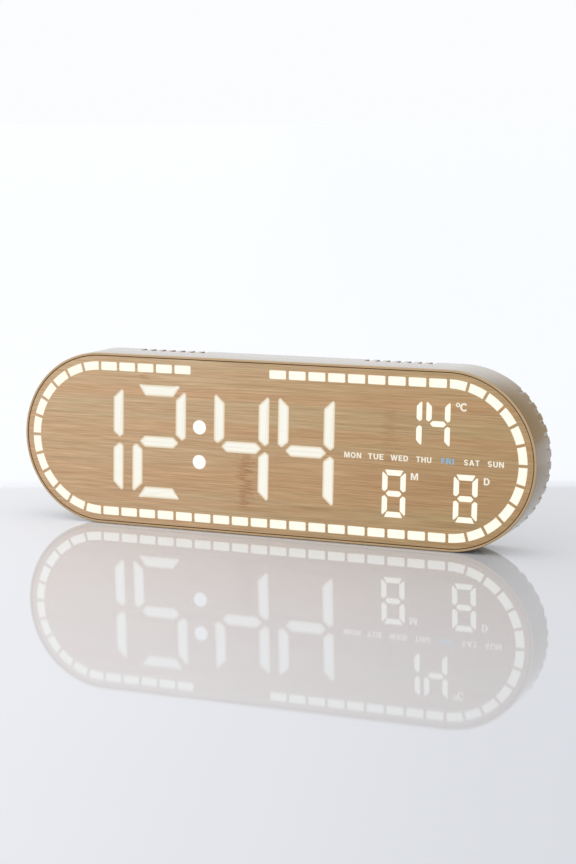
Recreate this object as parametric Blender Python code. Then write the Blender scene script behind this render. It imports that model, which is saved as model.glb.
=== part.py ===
"""Digital alarm clock with a bamboo front, in a stadium-shaped moulded case.

Metres, +Z up. The clock stands on its long flat side, its display faces -Y, and the origin lies
under its middle, on the surface that it stands on.
"""
import math

import bmesh
import bpy

# Driving dimensions. The case is laid out on the pitch of its second marks.
PITCH = 0.01133                      # centre to centre of two second marks on a straight side
HALF_STRAIGHT = 9 * PITCH            # 18 marks along each straight side
CASE_RADIUS = 4.24 * PITCH           # outer radius of the two round ends
CASE_DEPTH = 0.028
FOOT_PROUD = 0.0002                  # how far the feet stand out of the case
GAP = 0.0003                         # clearance between touching pieces
INSET = 0.0001                       # step that keeps a joined feature off its neighbour's plane
OVERRUN = 0.001                      # how far a cutter runs out past the face that it opens
ARC_STEPS = 24                       # facets on a half circle of the case
CENTRE_Z = CASE_RADIUS + FOOT_PROUD
FRONT_Y = -CASE_DEPTH / 2
BACK_Y = CASE_DEPTH / 2

# Case wall: thin around the display stack, thicker behind it, with a rebate for the rear cover.
LIP_RADIUS = 4.13 * PITCH
REAR_BORE_RADIUS = CASE_RADIUS - 0.0034
REBATE_RADIUS = CASE_RADIUS - 0.0022
COVER_THICKNESS = 0.0024
COVER_RADIUS = REBATE_RADIUS - GAP
COVER_INNER_Y = BACK_Y - COVER_THICKNESS
COVER_SEAT_Y = COVER_INNER_Y - GAP

# Display stack, front to back.
PANEL_RECESS = 0.00025
PANEL_THICKNESS = 0.0012
DIFFUSER_THICKNESS = 0.0012
MASK_THICKNESS = 0.0065
BOARD_THICKNESS = 0.0016
STACK_RADIUS = LIP_RADIUS - 0.0004
PANEL_Y = FRONT_Y + PANEL_RECESS
DIFFUSER_Y = PANEL_Y + PANEL_THICKNESS + GAP
MASK_Y = DIFFUSER_Y + DIFFUSER_THICKNESS + GAP
DISPLAY_Y = MASK_Y + MASK_THICKNESS + GAP
DISPLAY_BACK_Y = DISPLAY_Y + BOARD_THICKNESS
LEDGE_Y = DISPLAY_BACK_Y + GAP

# Vent grooves in the rear edge of the case.
GROOVE_DEPTH = 0.0008
GROOVE_WIDTH = 0.0029
GROOVE_LENGTH = 0.0085
GROUP_CENTRE_X = 5.92 * PITCH
GROUP_COUNT = 7
GROUP_PITCH = 0.53 * PITCH
END_COUNT = 13
END_STEP = math.radians(8)

# Display layout, in pitches from the middle of the face.
MARK_COUNT = 60
MARKS_PER_STRAIGHT = 18
MARKS_PER_END = 12
MARK_RADIUS = 3.60
MARK_LENGTH = 0.875
MARK_WIDTH = 0.43
LARGE_DIGIT = {"width": 2.88, "height": 5.58, "stroke": 0.55}
SMALL_DIGIT = {"width": 1.17, "height": 2.25, "stroke": 0.27}
LARGE_CELLS = [(-9.20, 0), (-5.81, 0), (-1.42, 0), (1.93, 0)]
SMALL_CELLS = [(7.15, 1.70), (8.52, 1.70), (5.00, -1.70), (6.37, -1.70), (8.50, -1.70), (9.87, -1.70)]
COLON_X = -3.63
COLON_Z = 0.85
COLON_RADIUS = 0.35
WEEKDAY_X = 4.32
WEEKDAY_PITCH = 1.165
WEEKDAY_COUNT = 7
WEEKDAY_SIZE = (0.95, 0.42)
SYMBOL_WELLS = [(9.68, 2.57), (7.39, -0.83), (10.89, -0.83)]
SYMBOL_SIZE = (0.62, 0.52)

# Screws: those of the cover, of the display stack and of the control board.
BOSS_RADIUS = 0.0032
BOSS_OFFSET = 0.0418                 # from the case's middle line to the cover screws
BOSS_FRONT_Y = 0.0
BOSS_FLOOR = 0.0015                  # solid end of a boss, in front of its screw hole
COVER_SCREW_TIP_Y = BOSS_FRONT_Y + 0.003
END_SCREW_ANGLE = math.radians(38)
SIDE_SCREW_X = 0.040
TAB_WIDTH = 0.009
TAB_THICKNESS = 0.0018
TAB_REACH_Z = 0.032
DISPLAY_SCREW_X = (-0.075, 0.0, 0.075)
DISPLAY_SCREW_Z = 0.035
DISPLAY_SCREW_TIP_Y = MASK_Y + 0.002
SCREW_HOLE = 0.0014
CLEARANCE_HOLE = SCREW_HOLE + 0.0001
SHANK_RADIUS = 0.0011
HEAD_RADIUS = 0.0025
HEAD_THICKNESS = 0.0012
COUNTERBORE_RADIUS = 0.0029
COUNTERBORE_DEPTH = 0.0016

# Control board on posts of the rear cover.
CONTROL_HALF = (0.080, 0.027)
CONTROL_BACK_Y = 0.0040
CONTROL_FRONT_Y = CONTROL_BACK_Y - BOARD_THICKNESS
POST_PLACES = [(x, z) for x in (-0.075, 0.075) for z in (-0.022, 0.022)]
POST_RADIUS = 0.0030
BOARD_SCREW_TIP_Y = COVER_INNER_Y - 0.003

# What the two boards carry. A place is (x, z) from the middle of the face.
LED_DRIVER_SIZE = (0.0102, 0.0015, 0.0053)
LED_DRIVER_X = (-0.040, 0.040)
MICROCONTROLLER_SIZE = (0.0070, 0.0010, 0.0070)
MICROCONTROLLER_PLACE = (-0.010, 0.004)
CONNECTOR_SIZE = (0.0140, 0.0016, 0.0032)
CONNECTOR_X = 0.022
BOARD_CONNECTOR_Z = 0.012
DISPLAY_CONNECTOR_Z = -0.006
RIBBON_WIDTH = 0.0120
RIBBON_THICKNESS = 0.0003
CRYSTAL_RADIUS = 0.0010
CRYSTAL_X = -0.020
CRYSTAL_Z = (0.001, 0.007)
CAPACITOR_RADIUS = 0.0031
CAPACITOR_HEIGHT = 0.0060
CAPACITOR_PLACE = (0.026, -0.012)
SENSOR_PLACE = (-0.024, -0.022)
SENSOR_STEM = (0.0006, 0.0030)               # radius and length
SENSOR_BEAD_RADIUS = 0.0013
SENSOR_BEAD_RISE = 0.0034

# Push buttons on tact switches.
BUTTON_NAMES = ("set", "minus", "plus", "alarm", "light")
BUTTON_PITCH = 0.018
BUTTON_Z = 0.020
BUTTON_RADIUS = 0.0046
BUTTON_TRAVEL = 0.0005
BUTTON_FACE_Y = BACK_Y - 0.0002
BUTTON_RECESS = (0.045, 0.0075, 0.0012)      # half length, radius and depth
SWITCH_SIZE = 0.006
SWITCH_HEIGHT = 0.0035
PLUNGER_RADIUS = 0.0017
PLUNGER_RISE = 0.0010
SWITCH_FLOOR = 0.0012
FLANGE_WIDTH = 0.0010
FLANGE_THICKNESS = 0.0010
STEM_OVERLAP = 0.0005

# Battery compartment and its bayonet cap.
CELL_X = -0.052
CELL_Z = -0.006
CELL_RADIUS = 0.010
CELL_THICKNESS = 0.0032
HOLDER_WALL = 0.0018
HOLDER_HEIGHT = 0.0043
HOLDER_FLOOR = 0.0010
CAP_RADIUS = 0.0125
CAP_TAB_RADIUS = 0.0145
CAP_TAB_ANGLE = math.radians(24)
CAP_TURN = math.radians(40)
CAP_HUB_Y = 0.0100
CAP_FACE_Y = BACK_Y - 0.0001
CAP_TAB_ROOT = 0.8 * CAP_RADIUS              # where a tab starts, inside the cap
NOTCH_MARGIN = math.radians(3)
COIN_SLOT_SIZE = (0.0150, 0.0020, 0.0022)
COIN_SLOT_TURN = math.radians(-25)

# Other things on the rear.
BUZZER_X = 0.004
BUZZER_Z = -0.010
BUZZER_RADIUS = 0.006
BUZZER_HEIGHT = 0.0055
SOUND_HOLE = 0.0009
SOUND_RING = 0.0032
USB_X = 0.052
USB_Z = -0.014
USB_SIZE = (0.0090, 0.0034)
USB_MOUTH_Y = BACK_Y - 0.0020
USB_WALL = 0.0004
USB_FLOOR = 0.0015
USB_TONGUE_SIZE = (0.0064, 0.0060, 0.0007)
USB_TONGUE_ROOT = 0.0010             # how far behind the socket's inner end the tongue starts
PLUG_RECESS = (0.0130, 0.0076)
KEYHOLE_X = 0.100
KEYHOLE_Z = 0.020
KEYHOLE_RADIUS = 0.0046
KEYHOLE_SLOT_RADIUS = 0.0022
KEYHOLE_RISE = 0.010

# Feet.
FOOT_RADIUS = 0.0035
FOOT_THICKNESS = 0.0014
FOOT_PLACES = [(x, y) for x in (-0.092, 0.092) for y in (-0.0085, 0.0085)]
FOOT_POCKET = FOOT_THICKNESS - FOOT_PROUD + GAP


for old in list(bpy.data.objects):
    bpy.data.objects.remove(old, do_unlink=True)
parts = bpy.data.collections.new("alarm_clock")
cutters = bpy.data.collections.new("cutters")
bpy.context.scene.collection.children.link(parts)
bpy.context.scene.collection.children.link(cutters)


# ---------------------------------------------------------------- materials
def material(name, color, roughness, metallic=0.0, transmission=0.0):
    made = bpy.data.materials.new(name)
    made.use_nodes = True
    shader = made.node_tree.nodes["Principled BSDF"]
    shader.inputs["Base Color"].default_value = (*color, 1.0)
    shader.inputs["Roughness"].default_value = roughness
    shader.inputs["Metallic"].default_value = metallic
    shader.inputs["Transmission Weight"].default_value = transmission
    made.diffuse_color = (*color, 1.0)
    return made


CHAMPAGNE = material("champagne_paint", (0.46, 0.38, 0.28), 0.35, 0.6)
BAMBOO = material("bamboo_veneer", (0.52, 0.36, 0.20), 0.45)
DIFFUSER = material("opal_sheet", (0.90, 0.89, 0.85), 0.5, 0.0, 0.4)
WHITE_MOULDING = material("white_moulding", (0.85, 0.85, 0.83), 0.5)
COVER_PLASTIC = material("cover_plastic", (0.34, 0.28, 0.21), 0.5)
BUTTON_PLASTIC = material("button_plastic", (0.24, 0.20, 0.15), 0.4)
CIRCUIT_BOARD = material("circuit_board", (0.03, 0.16, 0.07), 0.4)
WHITE_BOARD = material("white_circuit_board", (0.80, 0.81, 0.79), 0.4)
CHIP = material("chip_plastic", (0.02, 0.02, 0.022), 0.45)
STEEL = material("steel", (0.62, 0.62, 0.63), 0.3, 1.0)
SILICONE = material("silicone", (0.55, 0.54, 0.50), 0.6)
CONNECTOR = material("connector_plastic", (0.80, 0.77, 0.68), 0.5)
RIBBON = material("ribbon_film", (0.78, 0.80, 0.82), 0.35)
THERMISTOR = material("thermistor_epoxy", (0.05, 0.05, 0.06), 0.3)


# ---------------------------------------------------------------- outlines, as lists of (x, z)
def stadium(half_length, radius, steps, centre=(0.0, 0.0)):
    """Two half circles joined by straight sides, anticlockwise."""
    points = []
    for side, start in ((1, -math.pi / 2), (-1, math.pi / 2)):
        for step in range(steps + 1):
            angle = start + math.pi * step / steps
            points.append((centre[0] + side * half_length + radius * math.cos(angle),
                           centre[1] + radius * math.sin(angle)))
    return points


def circle(radius, steps, centre=(0.0, 0.0)):
    angles = [2 * math.pi * (step + 0.5) / steps for step in range(steps)]
    return [(centre[0] + radius * math.cos(a), centre[1] + radius * math.sin(a)) for a in angles]


def rectangle(size, centre=(0.0, 0.0)):
    corners = ((-0.5, -0.5), (0.5, -0.5), (0.5, 0.5), (-0.5, 0.5))
    return [(centre[0] + size[0] * u, centre[1] + size[1] * v) for u, v in corners]


def scaled(points, factor):
    return [(x * factor, z * factor) for x, z in points]


def second_mark(index):
    """Outline of one second mark, counted clockwise from the top middle, in pitches."""
    half_side = MARKS_PER_STRAIGHT / 2
    inner, outer = MARK_RADIUS - MARK_WIDTH / 2, MARK_RADIUS + MARK_WIDTH / 2
    place = index + 0.5
    if place < half_side or place > MARK_COUNT - half_side:
        x = place if place < half_side else place - MARK_COUNT
        return rectangle((MARK_LENGTH, MARK_WIDTH), (x, MARK_RADIUS))
    if half_side + MARKS_PER_END < place < MARK_COUNT - half_side - MARKS_PER_END:
        return rectangle((MARK_LENGTH, MARK_WIDTH), (MARK_COUNT / 2 - place, -MARK_RADIUS))
    right = place < MARK_COUNT / 2
    along = place - half_side if right else place - (MARK_COUNT - half_side - MARKS_PER_END)
    angle = (math.pi / 2 if right else -math.pi / 2) - math.pi * along / MARKS_PER_END
    edge_gap = (1 - MARK_LENGTH) / 2
    points = []
    for radius, order in ((outer, (1, -1)), (inner, (-1, 1))):
        spread = math.pi / MARKS_PER_END / 2 - edge_gap / radius
        for side in order:
            turn = angle + side * spread
            points.append(((half_side if right else -half_side) + radius * math.cos(turn),
                           radius * math.sin(turn)))
    return points


def digit_segments(cell, width, height, stroke, pointed):
    """The seven segments of a digit, as bars with pointed or square ends, in pitches."""
    middle_x, middle_z = cell
    half_w, half_h, inset = width / 2 - stroke / 2, height / 2 - stroke / 2, stroke * 0.62
    bars = []
    for z in (half_h, 0.0, -half_h):
        bars.append([(x, z + across) for x, across in bar(inset - half_w, half_w - inset, stroke, pointed)])
    for x in (-half_w, half_w):
        for side in (1, -1):
            bars.append([(x + across, side * z)
                         for z, across in bar(stroke * 0.78, half_h - inset, stroke, pointed)])
    return [[(middle_x + x, middle_z + z) for x, z in outline] for outline in bars]


def bar(start, end, stroke, pointed):
    """One segment, as (along, across) points."""
    half = stroke / 2
    points = [(start, -half), (end, -half), (end, half), (start, half)]
    if pointed:
        points.insert(2, (end + half / 2, 0.0))
        points.append((start - half / 2, 0.0))
    return points


def light_wells():
    """Every opening that light comes through, in metres from the middle of the face."""
    wells = [second_mark(index) for index in range(MARK_COUNT)]
    for cell in LARGE_CELLS:
        wells += digit_segments(cell, **LARGE_DIGIT, pointed=True)
    for cell in SMALL_CELLS:
        wells += digit_segments(cell, **SMALL_DIGIT, pointed=False)
    wells += [circle(COLON_RADIUS, 10, (COLON_X, z)) for z in (COLON_Z, -COLON_Z)]
    wells += [rectangle(WEEKDAY_SIZE, (WEEKDAY_X + day * WEEKDAY_PITCH, 0.0))
              for day in range(WEEKDAY_COUNT)]
    wells += [rectangle(SYMBOL_SIZE, place) for place in SYMBOL_WELLS]
    return [scaled(well, PITCH) for well in wells]


def screw_places():
    """Cover screws: two at each end and two on each straight side."""
    places = []
    for side in (-1, 1):
        for up in (-1, 1):
            places.append((side * (HALF_STRAIGHT + BOSS_OFFSET * math.cos(END_SCREW_ANGLE)),
                           up * BOSS_OFFSET * math.sin(END_SCREW_ANGLE)))
            places.append((side * SIDE_SCREW_X, up * BOSS_OFFSET))
    return places


def display_screw_places():
    return [(x, up * DISPLAY_SCREW_Z) for x in DISPLAY_SCREW_X for up in (1, -1)]


# ---------------------------------------------------------------- solids
def drawn_curve(name, outlines):
    """A flat curve of closed outlines, drawn in its own XY plane."""
    curve = bpy.data.curves.new(name, "CURVE")
    curve.dimensions = "2D"
    for outline in outlines:
        spline = curve.splines.new("POLY")
        spline.points.add(len(outline) - 1)
        for point, (x, z) in zip(spline.points, outline):
            point.co = (x, z, 0.0, 1.0)
        spline.use_cyclic_u = True
    return bpy.data.objects.new(name + "_outline", curve)


def flat_solid(name, outlines, y_front, y_back, finish=None):
    """A plate in the plane of the face. Outlines after the first are holes through it."""
    drawn = drawn_curve(name, outlines)
    drawn.data.fill_mode = "BOTH"
    drawn.data.extrude = (y_back - y_front) / 2
    drawn.location = (0.0, (y_front + y_back) / 2, CENTRE_Z)
    return solid_from_curve(name, drawn, finish)


def swept_ring(name, profile, finish):
    """A ring that follows the case's outline; the profile is a list of (radius, y)."""
    path = drawn_curve(name, [stadium(HALF_STRAIGHT, CASE_RADIUS, ARC_STEPS)])
    section = drawn_curve(name + "_section", [[(CASE_RADIUS - radius, -y) for radius, y in profile]])
    parts.objects.link(section)
    path.data.bevel_mode = "OBJECT"
    path.data.bevel_object = section
    path.data.fill_mode = "NONE"
    path.location = (0.0, 0.0, CENTRE_Z)
    ring = solid_from_curve(name, path, finish)
    bpy.data.objects.remove(section, do_unlink=True)
    return ring


def solid_from_curve(name, drawn, finish):
    """Stands a drawn curve up in the plane of the face and makes it a mesh."""
    drawn.rotation_euler = (math.pi / 2, 0.0, 0.0)
    parts.objects.link(drawn)
    bpy.context.view_layer.update()
    mesh = bpy.data.meshes.new_from_object(drawn.evaluated_get(bpy.context.evaluated_depsgraph_get()))
    weld = bmesh.new()
    weld.from_mesh(mesh)
    bmesh.ops.remove_doubles(weld, verts=weld.verts, dist=1e-6)
    bmesh.ops.recalc_face_normals(weld, faces=weld.faces)
    weld.to_mesh(mesh)
    weld.free()
    made = bpy.data.objects.new(name, mesh)
    made.matrix_world = drawn.matrix_world
    bpy.data.objects.remove(drawn, do_unlink=True)
    mesh.name = name
    return filed(made, finish)


def filed(made, finish):
    """Puts a solid with the parts, or with the cutters when it has no finish."""
    if finish is None:
        cutters.objects.link(made)
        made.hide_render = True
        made.display_type = "WIRE"
    else:
        made.data.materials.clear()
        made.data.materials.append(finish)
        parts.objects.link(made)
    return made


def box(name, size, centre, finish=None):
    """An upright box; centre is (x, y, z) with z counted from the middle of the face."""
    shape = bmesh.new()
    bmesh.ops.create_cube(shape, size=1.0)
    bmesh.ops.scale(shape, vec=size, verts=shape.verts)
    return finished(name, shape, centre, finish)


def rod(name, radius, y_front, y_back, place, finish=None, steps=12):
    """A cylinder along Y."""
    shape = bmesh.new()
    bmesh.ops.create_cone(shape, cap_ends=True, segments=steps, radius1=radius, radius2=radius,
                          depth=y_back - y_front)
    turn = ((1, 0, 0), (0, 0, -1), (0, 1, 0))
    for vertex in shape.verts:
        vertex.co = [sum(row[i] * vertex.co[i] for i in range(3)) for row in turn]
    return finished(name, shape, (place[0], (y_front + y_back) / 2, place[1]), finish, smooth=True)


def finished(name, shape, centre, finish, smooth=False):
    """Makes a solid of a bmesh and stands it at a centre whose z is counted from the face's middle."""
    mesh = bpy.data.meshes.new(name)
    bmesh.ops.recalc_face_normals(shape, faces=shape.faces)
    shape.to_mesh(mesh)
    shape.free()
    if smooth:
        mesh.shade_smooth()
        mesh.set_sharp_from_angle(angle=math.radians(35))
    made = bpy.data.objects.new(name, mesh)
    made.location = (centre[0], centre[1], centre[2] + CENTRE_Z)
    return filed(made, finish)


def cut(solid, tools, operation="DIFFERENCE"):
    """Adds one Boolean that takes every tool at once."""
    group = bpy.data.collections.new(solid.name + "_" + operation.lower())
    cutters.children.link(group)
    for tool in tools:
        cutters.objects.unlink(tool)
        group.objects.link(tool)
    step = solid.modifiers.new(operation.lower(), "BOOLEAN")
    step.operation = operation
    step.operand_type = "COLLECTION"
    step.collection = group
    step.solver = "EXACT"


def shade(solid, angle=30):
    solid.data.shade_smooth()
    solid.data.set_sharp_from_angle(angle=math.radians(angle))


# ---------------------------------------------------------------- case
def vent_grooves():
    """Grooves in the rear edge: two groups above, two below, and a fan on each end."""
    tools = []
    middle_y = BACK_Y - GROOVE_LENGTH / 2 + OVERRUN
    size = (GROOVE_WIDTH, GROOVE_LENGTH + 2 * OVERRUN, 2 * GROOVE_DEPTH)
    for group in (-1, 1):
        for up in (-1, 1):
            for index in range(GROUP_COUNT):
                x = group * GROUP_CENTRE_X + (index - (GROUP_COUNT - 1) / 2) * GROUP_PITCH
                name = f"groove_{'top' if up > 0 else 'base'}_{'right' if group > 0 else 'left'}_{index}"
                tools.append(box(name, size, (x, middle_y, up * CASE_RADIUS)))
    for side in (-1, 1):
        for index in range(END_COUNT):
            angle = (index - (END_COUNT - 1) / 2) * END_STEP
            x = side * (HALF_STRAIGHT + CASE_RADIUS * math.cos(angle))
            name = f"groove_end_{'right' if side > 0 else 'left'}_{index}"
            tool = box(name, size, (x, middle_y, CASE_RADIUS * math.sin(angle)))
            tool.rotation_euler = (0.0, side * (math.pi / 2 - angle), 0.0)
            tools.append(tool)
    return tools


def make_case():
    wall = [(CASE_RADIUS, FRONT_Y), (CASE_RADIUS, BACK_Y), (REBATE_RADIUS, BACK_Y),
            (REBATE_RADIUS, COVER_SEAT_Y), (REAR_BORE_RADIUS, COVER_SEAT_Y), (REAR_BORE_RADIUS, LEDGE_Y),
            (LIP_RADIUS, LEDGE_Y), (LIP_RADIUS, FRONT_Y)]
    case = swept_ring("case_shell", wall, CHAMPAGNE)
    joined = [rod(f"boss_{n}", BOSS_RADIUS, BOSS_FRONT_Y, COVER_SEAT_Y - INSET, place)
              for n, place in enumerate(screw_places())]
    tab_depth = REAR_BORE_RADIUS + OVERRUN - TAB_REACH_Z
    for n, (x, z) in enumerate(display_screw_places()):
        middle_z = math.copysign(TAB_REACH_Z + tab_depth / 2, z)
        joined.append(box(f"tab_{n}", (TAB_WIDTH, TAB_THICKNESS, tab_depth),
                          (x, LEDGE_Y + INSET + TAB_THICKNESS / 2, middle_z)))
    cut(case, joined, "UNION")
    holes = [rod(f"boss_hole_{n}", SCREW_HOLE, BOSS_FRONT_Y + BOSS_FLOOR, COVER_SEAT_Y + OVERRUN, place,
                 steps=8) for n, place in enumerate(screw_places())]
    holes += [rod(f"tab_hole_{n}", SCREW_HOLE, LEDGE_Y - OVERRUN, LEDGE_Y + TAB_THICKNESS + OVERRUN, place,
                  steps=8) for n, place in enumerate(display_screw_places())]
    for n, (x, y) in enumerate(FOOT_PLACES):
        holes.append(upright_disc(f"foot_pocket_{n}", FOOT_RADIUS + GAP, x, y,
                                  -CASE_RADIUS - OVERRUN, -CASE_RADIUS + FOOT_POCKET))
    cut(case, vent_grooves() + holes)
    shade(case)


def upright_disc(name, radius, x, y, z_low, z_high, finish=None, steps=16):
    """A short cylinder along Z; heights are counted from the middle of the face."""
    shape = bmesh.new()
    bmesh.ops.create_cone(shape, cap_ends=True, segments=steps, radius1=radius, radius2=radius,
                          depth=z_high - z_low)
    return finished(name, shape, (x, y, (z_low + z_high) / 2), finish, smooth=True)


def make_feet():
    base = -CASE_RADIUS - FOOT_PROUD
    for n, (x, y) in enumerate(FOOT_PLACES, 1):
        upright_disc(f"foot_{n}", FOOT_RADIUS, x, y, base, base + FOOT_THICKNESS, SILICONE)


# ---------------------------------------------------------------- display stack
def make_display():
    outline = stadium(HALF_STRAIGHT, STACK_RADIUS, ARC_STEPS)
    panel = flat_solid("bamboo_panel", [outline], PANEL_Y, PANEL_Y + PANEL_THICKNESS, BAMBOO)
    sheet = flat_solid("diffuser_sheet", [outline], DIFFUSER_Y, DIFFUSER_Y + DIFFUSER_THICKNESS, DIFFUSER)
    screw_holes = [circle(SCREW_HOLE, 8, place) for place in display_screw_places()]
    mask = flat_solid("light_mask", [outline] + light_wells() + screw_holes,
                      MASK_Y, MASK_Y + MASK_THICKNESS, WHITE_MOULDING)
    board = flat_solid("display_board", [outline] + screw_holes, DISPLAY_Y, DISPLAY_BACK_Y, WHITE_BOARD)
    for piece in (panel, sheet, mask, board):
        shade(piece)
    driver_y = DISPLAY_BACK_Y + GAP + LED_DRIVER_SIZE[1] / 2
    for n, x in enumerate(LED_DRIVER_X, 1):
        box(f"led_driver_{n}", LED_DRIVER_SIZE, (x, driver_y, 0.0), CHIP)
    tab_back = LEDGE_Y + INSET + TAB_THICKNESS
    for n, place in enumerate(display_screw_places(), 1):
        make_screw(f"display_screw_{n}", place, tab_back + GAP, DISPLAY_SCREW_TIP_Y, heads_back=True)


def make_screw(name, place, seat_y, tip_y, heads_back):
    """A pan-head screw; its head lies behind the seat, or in front of it when heads_back is off."""
    head_y = seat_y + HEAD_THICKNESS if heads_back else seat_y - HEAD_THICKNESS
    overlap = HEAD_THICKNESS / 2 if heads_back else -HEAD_THICKNESS / 2
    shank_end = seat_y + overlap
    screw = rod(name, HEAD_RADIUS, min(seat_y, head_y), max(seat_y, head_y), place, STEEL, steps=12)
    shank = rod(name + "_shank", SHANK_RADIUS, min(tip_y, shank_end), max(tip_y, shank_end), place,
                steps=6)
    cut(screw, [shank], "UNION")
    return screw


# ---------------------------------------------------------------- rear cover
def keyhole(side):
    """A hanging slot: a hole for the screw head with a narrow way up from it."""
    x, z = side * KEYHOLE_X, KEYHOLE_Z
    half = math.asin(KEYHOLE_SLOT_RADIUS / KEYHOLE_RADIUS)
    points = []
    steps = 12
    for step in range(steps + 1):
        angle = math.pi / 2 + half + (2 * math.pi - 2 * half) * step / steps
        points.append((x + KEYHOLE_RADIUS * math.cos(angle), z + KEYHOLE_RADIUS * math.sin(angle)))
    for step in range(5):
        angle = math.pi * step / 4
        points.append((x + KEYHOLE_SLOT_RADIUS * math.cos(angle),
                       z + KEYHOLE_RISE - KEYHOLE_SLOT_RADIUS + KEYHOLE_SLOT_RADIUS * math.sin(angle)))
    return points


def cap_opening():
    """The round opening for the battery cap, with two notches that let its tabs in."""
    points = []
    steps = 40
    notch = CAP_TAB_ANGLE / 2 + NOTCH_MARGIN
    for step in range(steps):
        angle = 2 * math.pi * step / steps
        turned = (angle - CAP_TURN + math.pi / 2) % math.pi - math.pi / 2
        radius = CAP_TAB_RADIUS + GAP if abs(turned) < notch else CAP_RADIUS + GAP
        points.append((CELL_X + radius * math.cos(angle), CELL_Z + radius * math.sin(angle)))
    return points


def make_cover():
    button_row = [(BUTTON_PITCH * (n - 2), BUTTON_Z) for n in range(len(BUTTON_NAMES))]
    holes = [circle(BUTTON_RADIUS + GAP, 20, place) for place in button_row]
    holes += [circle(CLEARANCE_HOLE, 8, place) for place in screw_places()]
    holes += [keyhole(side) for side in (-1, 1)]
    holes.append(cap_opening())
    half_plug = (PLUG_RECESS[0] - PLUG_RECESS[1]) / 2
    holes.append(stadium(half_plug, PLUG_RECESS[1] / 2, 6, (USB_X, USB_Z)))
    holes.append(circle(SOUND_HOLE, 6, (BUZZER_X, BUZZER_Z)))
    for n in range(6):
        angle = n * math.pi / 3
        place = (BUZZER_X + SOUND_RING * math.cos(angle), BUZZER_Z + SOUND_RING * math.sin(angle))
        holes.append(circle(SOUND_HOLE, 6, place))
    cover = flat_solid("rear_cover", [stadium(HALF_STRAIGHT, COVER_RADIUS, ARC_STEPS)] + holes,
                       COVER_INNER_Y, BACK_Y, COVER_PLASTIC)
    posts = [rod(f"post_{n}", POST_RADIUS, CONTROL_BACK_Y + GAP, COVER_INNER_Y + OVERRUN, place)
             for n, place in enumerate(POST_PLACES)]
    cut(cover, posts, "UNION")
    tools = [rod(f"post_hole_{n}", SCREW_HOLE, CONTROL_BACK_Y, COVER_INNER_Y - OVERRUN, place, steps=8)
             for n, place in enumerate(POST_PLACES)]
    half, radius, depth = BUTTON_RECESS
    tools.append(flat_solid("button_recess", [stadium(half, radius, 12, (0.0, BUTTON_Z))],
                            BACK_Y - depth, BACK_Y + OVERRUN))
    tools += [rod(f"counterbore_{n}", COUNTERBORE_RADIUS, BACK_Y - COUNTERBORE_DEPTH, BACK_Y + OVERRUN,
                  place, steps=12) for n, place in enumerate(screw_places())]
    cut(cover, tools)
    shade(cover)
    for n, place in enumerate(screw_places(), 1):
        make_screw(f"cover_screw_{n}", place, BACK_Y - COUNTERBORE_DEPTH + GAP,
                   COVER_SCREW_TIP_Y, heads_back=True)


def make_cap():
    """A round bayonet cap over the coin cell, with a coin slot; it turns about its own axis."""
    axis = (CELL_X, CELL_Z)
    cap = rod("battery_cap", CAP_RADIUS, CAP_HUB_Y, CAP_FACE_Y, axis, BUTTON_PLASTIC, steps=32)
    tabs = []
    for start in (0.0, math.pi):
        angles = [start + CAP_TAB_ANGLE * (step / 4 - 0.5) for step in range(5)]
        outline = [(CELL_X + CAP_TAB_RADIUS * math.cos(a), CELL_Z + CAP_TAB_RADIUS * math.sin(a))
                   for a in angles]
        outline += [(CELL_X + CAP_TAB_ROOT * math.cos(a), CELL_Z + CAP_TAB_ROOT * math.sin(a))
                    for a in reversed(angles)]
        tabs.append(flat_solid(f"cap_tab_{len(tabs)}", [outline], CAP_HUB_Y, COVER_INNER_Y - GAP))
    cut(cap, tabs, "UNION")
    slot = box("coin_slot", COIN_SLOT_SIZE, (CELL_X, BACK_Y, CELL_Z))
    slot.rotation_euler = (0.0, COIN_SLOT_TURN, 0.0)
    cut(cap, [slot])


# ---------------------------------------------------------------- control board and what is on it
def make_board():
    holes = [circle(CLEARANCE_HOLE, 8, place) for place in POST_PLACES]
    size = (2 * CONTROL_HALF[0], 2 * CONTROL_HALF[1])
    flat_solid("control_board", [rectangle(size)] + holes, CONTROL_FRONT_Y, CONTROL_BACK_Y, CIRCUIT_BOARD)
    for n, place in enumerate(POST_PLACES, 1):
        make_screw(f"board_screw_{n}", place, CONTROL_FRONT_Y - GAP, BOARD_SCREW_TIP_Y, heads_back=False)
    behind = CONTROL_BACK_Y + GAP
    before = CONTROL_FRONT_Y - GAP
    x, z = MICROCONTROLLER_PLACE
    box("microcontroller", MICROCONTROLLER_SIZE, (x, before - MICROCONTROLLER_SIZE[1] / 2, z), CHIP)
    rise = CONNECTOR_SIZE[1] / 2
    box("board_connector", CONNECTOR_SIZE, (CONNECTOR_X, before - rise, BOARD_CONNECTOR_Z), CONNECTOR)
    box("display_connector", CONNECTOR_SIZE, (CONNECTOR_X, DISPLAY_BACK_Y + GAP + rise, DISPLAY_CONNECTOR_Z),
        CONNECTOR)
    crystal = upright_disc("clock_crystal", CRYSTAL_RADIUS, CRYSTAL_X, before - CRYSTAL_RADIUS, *CRYSTAL_Z,
                           STEEL)
    shade(crystal)
    rod("buzzer", BUZZER_RADIUS, behind, behind + BUZZER_HEIGHT, (BUZZER_X, BUZZER_Z), CHIP, steps=32)
    rod("capacitor", CAPACITOR_RADIUS, behind, behind + CAPACITOR_HEIGHT, CAPACITOR_PLACE, STEEL, steps=24)
    make_thermistor(behind)


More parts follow.
